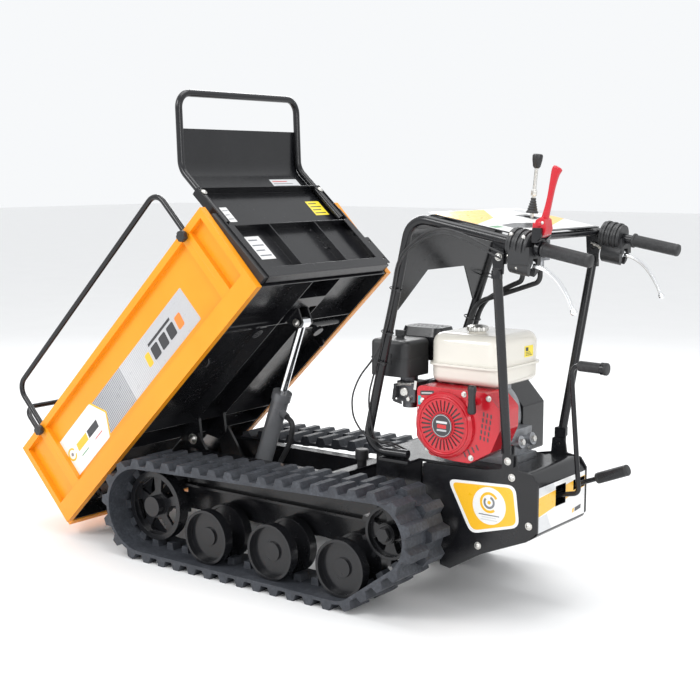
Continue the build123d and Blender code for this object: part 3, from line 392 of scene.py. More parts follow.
def hexagon_bolt(centre, out, across, height, dome=0.0, washer=0.0):
    """A hexagon head, domed if asked, on a washer."""
    out = Vector(out).normalized()
    parts = []
    base = centre
    if washer:
        parts.append(turned(base, out,
                            [(washer, 0), (washer, 0.0015), (washer * 0.93, 0.002), (0.0001, 0.002)], 28))
        base = base + out * 0.002
    r = across / 2 / math.cos(math.pi / 6)
    parts.append(turned(base, out, [(r, 0), (r, height * 0.85), (r * 0.9, height), (0.0001, height)], 6))
    if dome:
        arc = [(across * 0.43 * math.cos(t), height + dome * math.sin(t))
               for t in (0, 0.3, 0.6, 0.9, 1.2, 1.5)]
        parts.append(turned(base, out, [(across * 0.43, height * 0.8), *arc], 24))
    return merged(parts)


def dome_bolt(centre, out, radius, height):
    """A low domed head on a washer."""
    arc = [(radius * math.cos(t), radius * 0.18 + height * math.sin(t))
           for t in (0, 0.25, 0.5, 0.75, 1.0, 1.25, 1.5)]
    wide = radius * 1.35
    return turned(centre, out,
                  [(wide, 0), (wide, radius * 0.1), (wide * 0.97, radius * 0.18), (radius, radius * 0.18),
                   *arc], 28)


def flat_print(name, colour, rough=0.3, speckle=0.04):
    """Printed vinyl: an even colour with faint print grain."""
    s = Shader(name, Coat_Weight=0.3, Coat_Roughness=0.15)
    grain = s.ramp(s.noise(380, 4.0), 0.35, 0.65)
    s.colour(s.mix(grain, tuple(c * (1 - speckle) for c in colour),
                   tuple(min(1, c * (1 + speckle)) for c in colour)))
    s.rough(s.ramp(s.noise(45, 6.0), 0.3, 0.7, rough - 0.05, rough + 0.1))
    s.bump(s.noise(1200, 2.0), 0.05, 0.0002)
    return s.mat


PRINT = {name: flat_print(f"print_{name}", colour) for name, colour in {
    "white": (0.80, 0.80, 0.79), "yellow": (0.86, 0.47, 0.02), "silver": (0.46, 0.465, 0.48),
                                                                        "grey": (0.20, 0.21, 0.23),
    "pale": (0.62, 0.63, 0.64), "dark": (0.03, 0.03, 0.034), "orange": (0.85, 0.22, 0.03),
                                                                        "green": (0.03, 0.24, 0.07),
    "red": (0.55, 0.02, 0.02), "bright_yellow": (0.9, 0.72, 0.05), "brown": (0.10, 0.085, 0.075)}.items()}


# ---------------------------------------------------------------- printed sheets
def emblem(face, name, a, b, size):
    """A plain round badge: a broken ring round a dot, with bars for small print under it."""
    slot = "panel_orange"
    face.sheet(f"{name}_disc", circle(a, b, size), 2, slot, PRINT["white"])
    for k, (r0, r1, start, end,
            ink) in enumerate(((0.42, 0.56, 0.5, 5.4, "yellow"), (0.22, 0.34, 2.4, 7.6, "grey"))):
        face.sheet(f"{name}_arc_{k}", ring(a, b + size * 0.18, r0 * size, r1 * size, start, end), 3, slot,
                   PRINT[ink])
    face.sheet(f"{name}_dot", circle(a, b + size * 0.18, size * 0.1, 24), 3, slot, PRINT["yellow"])
    for k, (width, ink) in enumerate(((0.62, "grey"), (0.44, "pale"), (0.5, "pale"))):
        y = b - size * (0.52 + 0.13 * k)
        bar = [(a - width * size, y), (a + width * size, y), (a + width * size, y + size * 0.055),
               (a - width * size, y + size * 0.055)]
        face.sheet(f"{name}_bar_{k}", bar, 3, slot, PRINT[ink])


for side, s in SIDES.items():
    plate = Face(at(0, s * 136, 0), (-s, 0, 0), (0, 0, 1), "chassis")
    flip = -s
    outline = [(flip * x, z) for x, z in ((570, 352), (777, 364), (791, 255), (644, 214))]
    middle = (flip * 699, 296)
    for k, (grow, ink) in enumerate(((1.0, "white"), (0.9, "yellow"))):
        shape = [(middle[0] + (x - middle[0]) * grow, middle[1] + (z - middle[1]) * (grow - 0.02 * k))
                 for x, z in outline]
        plate.sheet(f"plate_sticker_{side}_{k}", shape, k, "panel_orange", PRINT[ink], 24 - 6 * k)
    emblem(plate, f"plate_badge_{side}", flip * 700, 298, 50)

    panel = Face(on_bed(0, s * 298, 0), -s * U, W, f"side_gate_{side}")
    f = -s
    strip = [(f * 150, 86), (f * 905, 86), (f * 905, 205), (f * 150, 205)]
    panel.sheet(f"panel_strip_{side}", strip, 0, "panel_orange", PRINT["silver"], 4)
    for k in range(46):
        a0 = f * (330 + k * 7.6)
        wide = f * (4.6 - k * 0.085)
        ink = "grey" if k < 26 else "pale"
        stripe = [(a0, 86), (a0 + wide, 86), (a0 + wide + f * 10, 205), (a0 + f * 10, 205)]
        panel.sheet(f"panel_stripe_{side}_{k}", stripe, 1, "panel_orange", PRINT[ink])
    for k, (cut, ink) in enumerate(((0, "yellow"), (7, "white"))):
        badge = [(f * 118, 80), (f * (352 - cut), 80), (f * (392 - cut), 146), (f * (352 - cut), 211),
                 (f * 118, 211)]
        panel.sheet(f"panel_badge_{side}_{k}", badge, 2 + k, "panel_orange", PRINT[ink], 5)
    panel.sheet(f"panel_ring_{side}", ring(f * 165, 146, 15, 21, 0.4, 5.9), 4, "panel_orange",
                PRINT["yellow"])
    panel.sheet(f"panel_dot_{side}", circle(f * 165, 146, 6, 24), 4, "panel_orange", PRINT["grey"])
    for k, (a, b, height,
            ink) in enumerate(((198, 262, 24, "yellow"), (268, 330, 24, "dark"), (198, 330, 4, "pale"),
                               (198, 240, 3, "green"), (286, 330, 3, "red"))):
        low = (146 - height / 2) if k < 2 else (122, 114, 114)[k - 2]
        block = [(f * a, low), (f * b, low), (f * (b + 5), low + height), (f * (a + 5), low + height)]
        panel.sheet(f"panel_block_{side}_{k}", block, 4, "panel_orange", PRINT[ink])
    for k, (a, b, ink) in enumerate(((640, 668, "yellow"), (676, 716, "dark"), (722, 762, "dark"),
                                     (768, 808, "dark"),
                                     (816, 850, "orange"))):
        bar = [(f * a, 118), (f * (b - 4), 118), (f * (b + 2), 158), (f * (a + 6), 158)]
        panel.sheet(f"panel_mark_{side}_{k}", bar, 2, "panel_orange", PRINT[ink], 6)
    panel.sheet(f"panel_line_{side}", [(f * 680, 166), (f * 806, 166), (f * 808, 174), (f * 682, 174)], 2,
                "panel_orange",
                PRINT["dark"])

# rear cover
rear = Face(at(840.6, 0, 0), (0, 1, 0), (0, 0, 1), "chassis")
rear_prints = [
    ("rear_white", [(-127, 246), (127, 246), (127, 364), (-127, 364)], 0, "white", 3),
    ("rear_band", [(-127, 288), (127, 322), (127, 352), (-127, 338)], 1, "yellow", 0),
    ("rear_tint_low", [(-127, 246), (-58, 246), (-84, 289), (-127, 286)], 1, "pale", 0),
    ("rear_tint_high", [(-127, 340), (-40, 345), (-50, 364), (-127, 364)], 1, "pale", 0),
    ("rear_mark", [(70, 262), (104, 265), (106, 276), (72, 273)], 1, "dark", 3),
    ("rear_mark_dot", [(56, 261), (66, 262), (68, 273), (58, 272)], 1, "yellow", 3),
]


def clipped(corners, box):
    """Cuts a flat outline to a box of (low a, high a, low b, high b)."""
    for axis, limit, keep in ((0, box[0], 1), (0, box[1], -1), (1, box[2], 1), (1, box[3], -1)):
        out = []
        for p, q in zip(corners, corners[1:] + corners[:1]):
            dp, dq = (p[axis] - limit) * keep, (q[axis] - limit) * keep
            if dp >= 0:
                out.append(p)
            if dp * dq < 0:
                t = dp / (dp - dq)
                out.append((p[0] + (q[0] - p[0]) * t, p[1] + (q[1] - p[1]) * t))
        corners = out
        if len(corners) < 3:
            return []
    return corners


# the prints leave the gear gate and the drive lever's slot open
gate_a0, gate_a1, gate_b0, gate_b1 = -38, 18, 298, 352
slot_a0, slot_a1, slot_b0, slot_b1 = 60, 126, 322, 350
tiles = [(-127, gate_a0, 246, 366), (gate_a0, gate_a1, 246, gate_b0), (gate_a0, gate_a1, gate_b1, 366),
         (gate_a1, slot_a0, 246, 366), (slot_a0, slot_a1, 246, slot_b0), (slot_a0, slot_a1, slot_b1, 366),
         (slot_a1, 127, 246, 366)]
for name, corners, layer, ink, radius in rear_prints:
    for k, tile in enumerate(tiles):
        part = clipped(corners, tile)
        if part:
            rear.sheet(f"{name}_{k}", part, layer, "panel_orange", PRINT[ink])

# fasteners
for side, s in SIDES.items():
    out = (0, s, 0)
    heads = [dome_bolt(at(x, s * 136.1, z), out, 7.6 * MM, 5 * MM) for x,
             z in ((766, 383), (818, 263), (667, 185))]
    heads.append(dome_bolt(at(757, s * 142.7, 426), out, 7.6 * MM, 5 * MM))
    heads.append(dome_bolt(at(788, s * 257.6, 958.5), out, 7.6 * MM, 5 * MM))
    heads.append(dome_bolt(Vector((-0.427 + MID_X, s * 0.0742, 0.323)), out, 13 * MM, 8 * MM))
    bolts = piece(f"bolt_heads_{side}", *merged(heads), "chassis", "zinc")
    if side == "left":
        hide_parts("frame_bolts")

# ---------------------------------------------------------------- console
def bar_point(x, side, lift=0.0):
    """A place on a handlebar's centre line, lifted straight up."""
    part = (x - 515) / 515
    return at(x, side * (235 + 17 * part), 1050 - 92.5 * part + lift)


bar_way = (bar_point(1030, 1) - bar_point(515, 1)).normalized()
top_way = Vector((bar_way.x, 0, bar_way.z)).normalized()
console_top = Face(at(560, 0, 1050 - 92.5 * 45 / 515 + 18.4), (0, 1, 0), -top_way, "chassis")


def top_sheet(name, corners, layer, ink, radius=0.0):
    """A print on the console's top, kept clear of the valve lever's hole."""
    tiles_here = [(-231, 74, -260, 5), (146, 231, -260, 5), (74, 146, -260, -138), (74, 146, -78, 5)]
    for k, tile in enumerate(tiles_here):
        part = clipped(corners, tile)
        if part:
            console_top.sheet(f"{name}_{k}", part, layer, "black_steel", PRINT[ink])


top_sheet("console_white", [(-226, -246), (226, -246), (226, 0), (-226, 0)], 0, "white")
top_sheet("console_band", [(-226, -18), (-226, -150), (-60, -96), (40, -4), (-120, -4)], 1, "yellow")
top_sheet("console_band_right", [(60, -206), (226, -150), (226, -96), (150, -120), (60, -168)], 1, "yellow")
top_sheet("console_dark", [(-150, -208), (-40, -224), (30, -180), (-60, -160), (-150, -172)], 1, "dark")
top_sheet("console_pale", [(-20, -70), (60, -30), (60, -70), (0, -110)], 1, "pale")
top_sheet("console_green", [(-216, -196), (-170, -196), (-170, -176), (-216, -176)], 1, "green")
for k in range(5):
    top_sheet(f"console_line_{k}",
              [(150, -30 - 9 * k), (214 - 8 * (k % 2), -30 - 9 * k), (214 - 8 * (k % 2), -27 - 9 * k),
               (150, -27 - 9 * k)], 1, "grey")

PLASTIC = MATERIALS["black_plastic"]

# hand grips: ribbed rubber sleeves with a rounded end
for side, s in SIDES.items():
    start, end = bar_point(905, s), bar_point(1034, s)
    way, length = (end - start).normalized(), (end - start).length
    profile = [(0.0150, 0), (0.0193, 0.0006), (0.0193, 0.0055), (0.0163, 0.0068)]
    for k in range(26):
        h = 0.010 + (length - 0.024) * k / 25
        profile += [(0.0163, h), (0.0154, h + 0.0012), (0.0154, h + 0.0026), (0.0163, h + 0.0036)]
    profile += [(0.0164, length - 0.006), (0.0150, length - 0.002), (0.0110, length), (0.0001, length)]
    grip = piece(f"grip_{side}", *turned(start, way, profile, 40), "chassis", "rubber")
    if side == "left":
        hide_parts("hand_grips")

# steering levers: curved cast blades with a ball end
BALL_R = 0.0088


def steering_section(t):
    return (8.2 - 2.6 * t) * MM, (5.6 - 1.6 * t) * MM


for side, s in SIDES.items():
    rail = smooth_path([at(*p) for p in ((868, s * 249, 942), (892, s * 249, 938), (915, s * 249, 930),
                                         (938, s * 249, 914), (958, s * 249, 892), (976, s * 249, 864),
                                         (989, s * 249, 836))], 8)
    ball = [(BALL_R * math.sin(math.pi * k / 14) + 0.00005, -BALL_R * math.cos(math.pi * k / 14))
            for k in range(15)]
    boss = turned(at(868, s * 240, 944), Y * s,
                  [(0.0125, 0), (0.0135, 0.001), (0.0135, 0.017), (0.0125, 0.018)], 28)
    lever = piece(f"steering_blade_{side}", *merged([blade(rail, steering_section, 3, 16),
                                                            turned(rail[-1], rail[-1] - rail[-2], ball, 24),
                                                     boss]),
                  f"steering_lever_{side}", "polished_aluminium")
    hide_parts(f"steering_lever_{side}")
    # screws and a cable adjuster on the housing
    small = []
    for x, lift in ((832, 22), (866, 22), (846, -54)):
        centre = bar_point(x, s, lift) + Y * (s * (0.030 if lift > 0 else 0.0255))
        small.append(dome_bolt(centre, Y * s, 4.2 * MM, 2.5 * MM))
    piece(f"housing_screws_{side}", *merged(small), "chassis", "zinc")
    nose = bar_point(815, s, -44)
    piece(f"cable_adjuster_{side}", *merged([
        turned(nose + Vector((0.002, 0, 0.006)), (-0.93, 0, 0.36),
               [(0.0075, 0), (0.0075, 0.010), (0.0056, 0.011), (0.0056, 0.020),
                                                   (0.0070, 0.0205), (0.0070, 0.027), (0.0042, 0.029),
                (0.0042, 0.036)], 8)]),
          "chassis", "zinc")

# lever grips at the rear
def rear_grip(name, start, end, radius, body, rings=22, knurl=0.0011, cap=0.0):
    way, length = (end - start).normalized(), (end - start).length
    profile = [(radius * 0.72, 0), (radius * 0.95, 0.002), (radius, 0.006)]
    for k in range(rings):
        h = 0.010 + (length - 0.022) * k / (rings - 1)
        profile += [(radius, h), (radius - knurl, h + 0.0011), (radius - knurl, h + 0.0020),
                    (radius, h + 0.0030)]
    if cap:
        profile += [(radius, length - 0.009), (cap, length - 0.008), (cap, length - 0.002),
                    (cap * 0.9, length)]
    else:
        profile += [(radius, length - 0.003), (radius * 0.86, length)]
    profile += [(0.0001, length + 0.0004)]
    return piece(name, *turned(start, way, profile, 36), body, "rubber", MATERIALS["rubber"])


rear_grip("gear_grip", at(884, -10, 669.6), at(965.5, -10, 667.7), 13.8 * MM, "gear_lever", 12, 0.0005,
          16.4 * MM)
rear_grip("drive_grip", at(900, 78, 359.2), at(989, 78, 395.3), 15.0 * MM, "drive_lever", 24, 0.0016)

# cable ties and hose clamps on the legs
def leg_point(z, s, out=0.0, rear=0.0):
    part = (z - 406.7) / 643.3
    return at(325 + 190 * part + rear, s * (172 + 63 * part + out), z)


leg_way = (leg_point(1050, 1) - leg_point(406.7, 1)).normalized()
ties = []
for z in (860, 742, 660):
    centre = leg_point(z, -1, 4.5, 0)
    loop = [centre + Vector((math.cos(a) * 0.0148, math.sin(a) * 0.0182, -math.cos(a) * 0.0043)) for a in
            [2 * math.pi * k / 28 for k in range(29)]]
    ties.append(tube(loop, 1.5 * MM, 8, caps=False))
    ties.append(brick(centre + Vector((0.0145, -0.010, -0.004)), Vector((0.0035, 0, 0)),
                      Vector((0, 0.003, 0)), Vector((0, 0, 0.004))))
for z in (870, 745, 560):
    centre = leg_point(z, 1, -9, 11)
    loop = [centre + Vector((math.cos(a) * 0.0235, math.sin(a) * 0.0235, -math.cos(a) * 0.0065)) for a in
            [2 * math.pi * k / 28 for k in range(29)]]
    ties.append(tube(loop, 1.7 * MM, 8, caps=False))
piece("cable_ties", *merged(ties), "chassis", "black_plastic")

# valve lever: boot with folds, plated stem, knob
foot, tip = at(668 + 4.9, 110, 1054), at(668 + 17, 110, 1185)
stem_way = (at(685, 110, 1185) - at(668, 110, 1001)).normalized()
boot = [(0.0165, -0.002), (0.0172, 0.000)]
for k in range(5):
    h, r = 0.003 + 0.0065 * k, 0.0155 - 0.0016 * k
    boot += [(r, h), (r - 0.0028, h + 0.0033)]
boot += [(0.0075, 0.036), (0.0065, 0.0385), (0.0001, 0.0385)]
knob = [(0.006, -0.016), (0.0085, -0.014), (0.0105, -0.010), (0.0135, 0.006), (0.0142, 0.016),
        (0.0132, 0.0205), (0.0095, 0.0223), (0.0001, 0.0226)]
lever_parts = [turned(at(668, 110, 1001), stem_way, [(0.005, 0), (0.005, 0.19), (0.0001, 0.19)], 24),
               turned(at(668, 101, 1001), Y, [(0.009, 0), (0.009, 0.018)], 24),
               turned(foot + stem_way * 0.044, stem_way,
                      [(0.0075, 0), (0.0085, 0.002), (0.0085, 0.014), (0.0055, 0.018), (0.0001, 0.018)], 6)]
valve = piece("valve_stem", *merged(lever_parts), "valve_lever", "zinc")
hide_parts("valve_lever")
piece("valve_boot", *turned(foot, stem_way, boot, 32), "valve_lever", "rubber", MATERIALS["rubber"],
      smooth=60)
piece("valve_knob", *turned(tip + stem_way * 0.002, stem_way, knob, 32), "valve_lever", "black_plastic",
      PLASTIC, smooth=50)


# clutch lever: a curved red arm on a shaped hub
arm = smooth_path([at(*p)
                   for p in ((902, -252, 1032), (912, -252, 1062), (921, -252, 1098), (928, -252, 1132),
                             (935, -252, 1160), (942, -252, 1174))], 6)


def clutch_section(t):
    """The arm is slimmest a little below its middle, and its last ring closes the tip."""
    wide, deep = (6.5 - 1.2 * t) * MM, (11.5 - 5.0 * math.sin(math.pi * min(1, t * 1.15)) + 1.0 * t) * MM
    return (wide * 0.6, deep * 0.6) if t == 1 else (wide, deep)


hub_outline = [at(x, -269, z) for x, z in ((890, 1012), (906, 1008), (918, 1016), (922, 1030), (918, 1052),
                                           (908, 1058), (894, 1050),
                                           (888, 1030))]
hub_side = [at(x, -268.5, z) for x, z in ((884, 1022), (894, 1018), (897, 1040), (886, 1044))]
clutch = piece("clutch_arm", *merged([blade(arm, clutch_section, 4, 20), slab(hub_outline, Y * 0.034),
                                      slab(hub_side, Y * 0.033),
                                      turned(at(904, -270.5, 1040), Y,
                                             [(0.0001, 0), (0.0055, 0), (0.0065, 0.002)], 20)]),
               "clutch_lever", "red_plastic")
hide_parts("clutch_lever")
bevel = clutch.modifiers.new("edges", "BEVEL")
bevel.width, bevel.segments, bevel.limit_method = 0.0016, 2, "ANGLE"
piece("clutch_screws", *merged([dome_bolt(at(902, -270.2, 1020), -Y, 5 * MM, 3 * MM),
                                dome_bolt(at(912, -269.2, 1044), -Y, 3 * MM, 2 * MM)]),
      "clutch_lever", "zinc")

# cylinder: caps on the rod eye's pin
EYE = at(-36.6, 0, 716.7)
pin_caps = [dome_bolt(EYE + Y * (s * 0.0305), Y * s, 9 * MM, 4 * MM) for s in (-1, 1)]
piece("cylinder_eye_caps", *merged(pin_caps), "cylinder_rod", "zinc")

# ---------------------------------------------------------------- engine
CRANK = (577, 503)
shroud = Face(at(CRANK[0], -174, CRANK[1]), (1, 0, 0), (0, 0, 1), "chassis")
# painted shade: dark sheets just behind the vent ring's slots stand in for the shaded inside seen through them
vent_shade_sheets = []
for k in range(30):
    a = 2 * math.pi * k / 30
    way = Vector((math.cos(a), 0, math.sin(a)))
    side_way = Vector((-math.sin(a), 0, math.cos(a)))
    vent_shade_sheets.append(brick(at(CRANK[0], -170.2, CRANK[1]) + way * 0.052, way * 0.0150, side_way * 0.00225,
                               Y * 0.0012))
piece("vent_painted_shade", *merged(vent_shade_sheets), "chassis", "red_plastic", PRINT["dark"], smooth=0)


def ring_ridge(name, inner, outer, height, base=-174.0):
    """A raised half-round ring on the fan cover, round the crankshaft's axis."""
    r, half = (inner + outer) / 2, (outer - inner) / 2
    verts, faces, steps, around = [], [], 72, 7
    for a in angles(steps):
        way = Vector((math.cos(a), 0, math.sin(a)))
        for m in range(around):
            b = math.pi * m / (around - 1)
            verts.append(at(CRANK[0], base, CRANK[1]) + way * ((r + half * math.cos(b)) * MM)
                         - Y * (height * math.sin(b) * MM))
    for k in range(steps):
        n = (k + 1) % steps
        for m in range(around):
            p = (m + 1) % around
            faces.append((k * around + m, n * around + m, n * around + p, k * around + p))
    return piece(name, verts, faces, "chassis", "red_plastic", smooth=60)


ring_ridge("shroud_rim", 71, 79, 4.5)
ring_ridge("shroud_inner_rim", 33.5, 37, 2.5)
hub = Face(at(CRANK[0], -178, CRANK[1]), (1, 0, 0), (0, 0, 1), "chassis")
hub.sheet("hub_black", circle(0, 0, 31.5), 0, "black_plastic", PRINT["dark"])
hub.sheet("hub_ring", ring(0, 0, 27.6, 29.2, 0, 6.2831, 60), 1, "black_plastic", PRINT["silver"])
for k, (low, high, half,
        ink) in enumerate(((6, 12, 17, "pale"), (-7, 3, 14, "red"), (-15, -10, 15, "silver"))):
    hub.sheet(f"hub_bar_{k}", [(-half, low), (half, low), (half, high), (-half, high)], 1, "black_plastic",
              PRINT[ink], 2)

# slots and bolts beside the vent ring, on the cover's flat front; the slots are flat dark sheets, painted
# shade for their shaded insides
front = Face(at(0, -160, 0), (1, 0, 0), (0, 0, 1), "chassis")
for row in range(5):
    for column in range(3):
        a, b = 683 + 11 * column + 2.2 * row, 476 + 15.5 * row - 2.0 * column
        if a < 727 - 0.2 * abs(row - 2):
            front.sheet(f"side_vent_{row}_{column}",
                        rounded([(a, b), (a + 4.2, b), (a + 4.2, b + 11.5), (a, b + 11.5)], 2), 0,
                        "red_plastic", PRINT["dark"])
for k in range(4):
    a, b = 640 + 12.5 * k, 424 + 7.5 * k
    front.sheet(f"low_vent_painted_shade_{k}", [(a, b), (a + 4, b + 1), (a - 4, b + 15), (a - 8, b + 14)], 0, "red_plastic",
                PRINT["dark"])
front.sheet("engine_plate", [(497, 574), (540, 578), (540, 590), (497, 586)], 0, "red_plastic", PRINT["dark"],
            3)
front.sheet("engine_plate_line", [(501, 578.5), (535, 581.6), (535, 584.6), (501, 581.5)], 1, "red_plastic",
            PRINT["pale"])
front.sheet("teal_sticker", [(490, 548), (499, 548), (499, 572), (490, 572)], 0, "red_plastic",
            flat_print("print_teal", (0.03, 0.42, 0.46)))
front.sheet("white_sticker", [(489, 496), (496, 496), (496, 542), (489, 542)], 0, "red_plastic",
            PRINT["white"])
for k in range(4):
    front.sheet(f"sticker_dash_{k}", [(490.5, 500 + 10 * k), (494.5, 500 + 10 * k), (494.5, 506 + 10 * k),
                                      (490.5, 506 + 10 * k)], 1,
                "red_plastic", PRINT["grey"])
cover_bolts = [hexagon_bolt(at(x, -160, z), -Y, 9 * MM, 5 * MM, washer=8 * MM) for x, z in
               ((503, 480), (523, 432), (657, 424), (708, 586), (504, 560), (634, 590))]
piece("cover_bolts", *merged(cover_bolts), "chassis", "zinc")

# starter handle: waisted, with a knot collar
handle_profile = [(0.0078, 0), (0.0105, 0.003), (0.0118, 0.010), (0.0100, 0.024), (0.0090, 0.037),
                  (0.0100, 0.052), (0.0120, 0.064),
                  (0.0108, 0.071), (0.0080, 0.074), (0.0001, 0.0742)]
starter = piece("starter_handle", *merged([turned(at(679, -195, 548), (0, 0, 1), handle_profile, 28),
                                           turned(at(672, -184.5, 572), (-0.96, 0.28, 0),
                                                  [(0.002, 0), (0.002, 0.0073)], 12),
                                           turned(at(674, -189, 584), (-1, 0, 0),
                                                  [(0.006, 0), (0.0065, 0.004), (0.0045, 0.008),
                                                   (0.0001, 0.0082)], 18)]),
                "recoil_grip", "black_plastic", PLASTIC, smooth=50)
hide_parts("recoil_grip")

# fuel cap: fluted plated skirt and top, with a black grip bar
FLUTES, CAP_FOOT = 14, at(599, -40, 742.6)
cap = []
for h, r, depth in ((0.0, 0.0275, 0.0), (0.001, 0.0290, 0.0022), (0.010, 0.0290, 0.0022),
                    (0.0125, 0.0265, 0.001), (0.0142, 0.021, 0.0)):
    cap.append([CAP_FOOT + Vector((math.cos(a), math.sin(a), 0))
                * (r - depth * (0.5 + 0.5 * math.cos(FLUTES * a)) ** 2) + Vector((0, 0, h))
                for a in angles(112)])
lid = piece("fuel_cap_skirt", *skinned(cap), "fuel_cap", "zinc")
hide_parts("fuel_cap")
piece("fuel_cap_grip", *brick(at(599, -40, 756.4), Vector((0.013, 0, 0)), Vector((0, 0.003, 0)),
                              Vector((0, 0, 0.0009))), "fuel_cap",
      "black_plastic", PLASTIC)

# tank sticker, on its right rear
tank_rear = Face(at(708.3, 0, 0), (0, 1, 0), (0, 0, 1), "chassis")
tank_rear.sheet("tank_label", [(20, 672), (66, 672), (66, 702), (20, 702)], 0, "tank_white",
                PRINT["bright_yellow"], 3)
tank_rear.sheet("tank_label_mark", [(26, 688), (40, 688), (40, 698), (26, 698)], 1, "tank_white",
                PRINT["dark"], 1)
for k in range(3):
    tank_rear.sheet(f"tank_label_line_{k}", [(26, 676 + 4 * k), (60 - 6 * k, 676 + 4 * k),
                                             (60 - 6 * k, 677.6 + 4 * k), (26, 677.6 + 4 * k)],
                    1, "tank_white", PRINT["dark"])

# crankcase: two oil plugs and two bolts
plugs = [hexagon_bolt(at(733, y, 454), (0.99, 0, 0.12), 16 * MM, 8 * MM) for y in (-30, 30)]
plugs += [hexagon_bolt(at(702, y, 420), (1, 0, 0), 9 * MM, 5 * MM, washer=8 * MM) for y in (-46, 56)]
piece("crankcase_bolts", *merged(plugs), "chassis", "zinc")

# fuel hose, throttle rod and spring under the air cleaner
hose_line = smooth_path([at(500, -70, 606), at(486, -96, 596), at(474, -112, 578), at(458, -118, 560),
                         at(438, -116, 545)], 8)
piece("fuel_hose", *tube(hose_line, 4 * MM, 12), "chassis", "rubber")
spring_line = [at(412 + 46 * t, -146 + 3 * math.cos(60 * t), 596 + 3 * math.sin(60 * t))
               for t in [k / 160 for k in range(161)]]
piece("governor_spring", *tube(spring_line, 0.7 * MM, 6), "chassis", "zinc")
linkage = [tube([at(404, -148, 588), at(470, -150, 602)], 1.6 * MM, 8),
           brick(at(474, -150, 596), Vector((0.0015, 0, 0.012)), Vector((0.004, 0, -0.0005)), Y * 0.001),
           turned(at(430, -138, 572), -Y, [(0.013, 0), (0.013, 0.004), (0.010, 0.006), (0.0001, 0.006)], 24),
           turned(at(450, -138, 556), -Y, [(0.006, 0), (0.006, 0.012), (0.0001, 0.012)], 6)]
piece("throttle_linkage", *merged(linkage), "chassis", "zinc")
levers = [brick(at(408, -154, 566), Vector((0.002, 0, 0.015)), Vector((0.005, 0, 0)), Y * 0.0012),
          brick(at(420, -156, 548), Vector((0.014, 0, -0.003)), Vector((0, 0, 0.004)), Y * 0.0012)]
piece("choke_levers", *merged(levers), "chassis", "black_plastic", PLASTIC)
air_clip = brick(at(393, -165.6, 662), Vector((0.012, 0, 0)), Y * 0.001, Vector((0, 0, 0.015)))
piece("air_cleaner_clips", *air_clip, "chassis", "black_plastic", PLASTIC)

# ---------------------------------------------------------------- bed
HEAD_LEAN = math.radians(3.8)
HINGE_U, HINGE_W = 1172, 10


def lean(u, w):
    """A headboard point moved with its lean about its hinge line."""
    du, dw = u - HINGE_U, w - HINGE_W
    return (HINGE_U + du * math.cos(HEAD_LEAN) - dw * math.sin(HEAD_LEAN),
            HINGE_W + du * math.sin(HEAD_LEAN) + dw * math.cos(HEAD_LEAN))


lean_u = (U * math.cos(HEAD_LEAN) + W * math.sin(HEAD_LEAN)).normalized()
lean_w = (W * math.cos(HEAD_LEAN) - U * math.sin(HEAD_LEAN)).normalized()


def on_head(u, y, w):
    uu, ww = lean(u, w)
    return on_bed(uu, y, ww)


head_back = Face(on_head(1148, 0, 0), -Y, lean_w, "bed")
if head_back.out.dot(lean_u) < 0:
    head_back = Face(on_head(1148, 0, 0), Y, lean_w, "bed")
flip_y = 1 if head_back.right.y > 0 else -1
labels = [("head_label_low", -218, 96, 62, 92, "white", 4),
          ("head_label_left", -222, 250, 30, 60, "white", 3),
          ("head_label_right", 182, 262, 66, 62, "bright_yellow", 4)]
for name, y, w, wide, high, ink, rows in labels:
    a0, a1 = flip_y * y, flip_y * (y + wide)
    head_back.sheet(name, [(a0, w), (a1, w), (a1, w + high), (a0, w + high)], 0, "black_steel", PRINT[ink])
    for k in range(rows):
        b = w + high * (k + 0.6) / (rows + 0.5)
        end = a0 + (a1 - a0) * (0.88 - 0.18 * (k % 2))
        start = a0 + (a1 - a0) * 0.1
        head_back.sheet(f"{name}_line_{k}", [(start, b), (end, b), (end, b + high * 0.06),
                                             (start, b + high * 0.06)], 1, "black_steel",
                        PRINT["dark" if ink == "bright_yellow" else "grey"])
sheet_back = Face(on_head(1150.5, 0, 0), head_back.right, lean_w, "bed")
sheet_back.sheet("head_label_top",
                 [(flip_y * 96, 386), (flip_y * 226, 386), (flip_y * 226, 424), (flip_y * 96, 424)], 0,
                 "black_steel", PRINT["pale"])
for k in range(3):
    sheet_back.sheet(f"head_label_top_line_{k}",
                     [(flip_y * 104, 393 + 10 * k), (flip_y * (214 - 20 * k), 393 + 10 * k),
                      (flip_y * (214 - 20 * k), 396 + 10 * k), (flip_y * 104, 396 + 10 * k)], 1,
                     "black_steel", PRINT["red" if k == 2 else "grey"])
head_bolts = []
for s in (-1, 1):
    head_bolts.append(dome_bolt(on_head(1172.2, s * 266, 352), lean_u, 7 * MM, 4 * MM))
    for w in (36, 120, 200):
        head_bolts.append(dome_bolt(on_head(1148.2, s * 96, w), lean_u, 4.5 * MM, 2.5 * MM))
    for w in (70, 170):
        head_bolts.append(dome_bolt(on_head(1148.2, s * 262, w), lean_u, 4.5 * MM, 2.5 * MM))
piece("headboard_bolts", *merged([head_bolts[0], head_bolts[6]]), "bed", "zinc")
piece("headboard_rivets", *merged([b for k, b in enumerate(head_bolts) if k not in (0, 6)]), "bed",
      "black_steel")
for side, s in SIDES.items():
    seal = [on_bed(1123.5, s * 279.2, 12), on_head(1166, s * 279.2, 12),
            on_head(1166, s * 279.2, 270), on_bed(1123.5, s * 279.2, 276)]
    piece(f"headboard_seal_{side}", *slab(seal, Y * (s * 0.0148)), "bed", "rubber", PLASTIC)

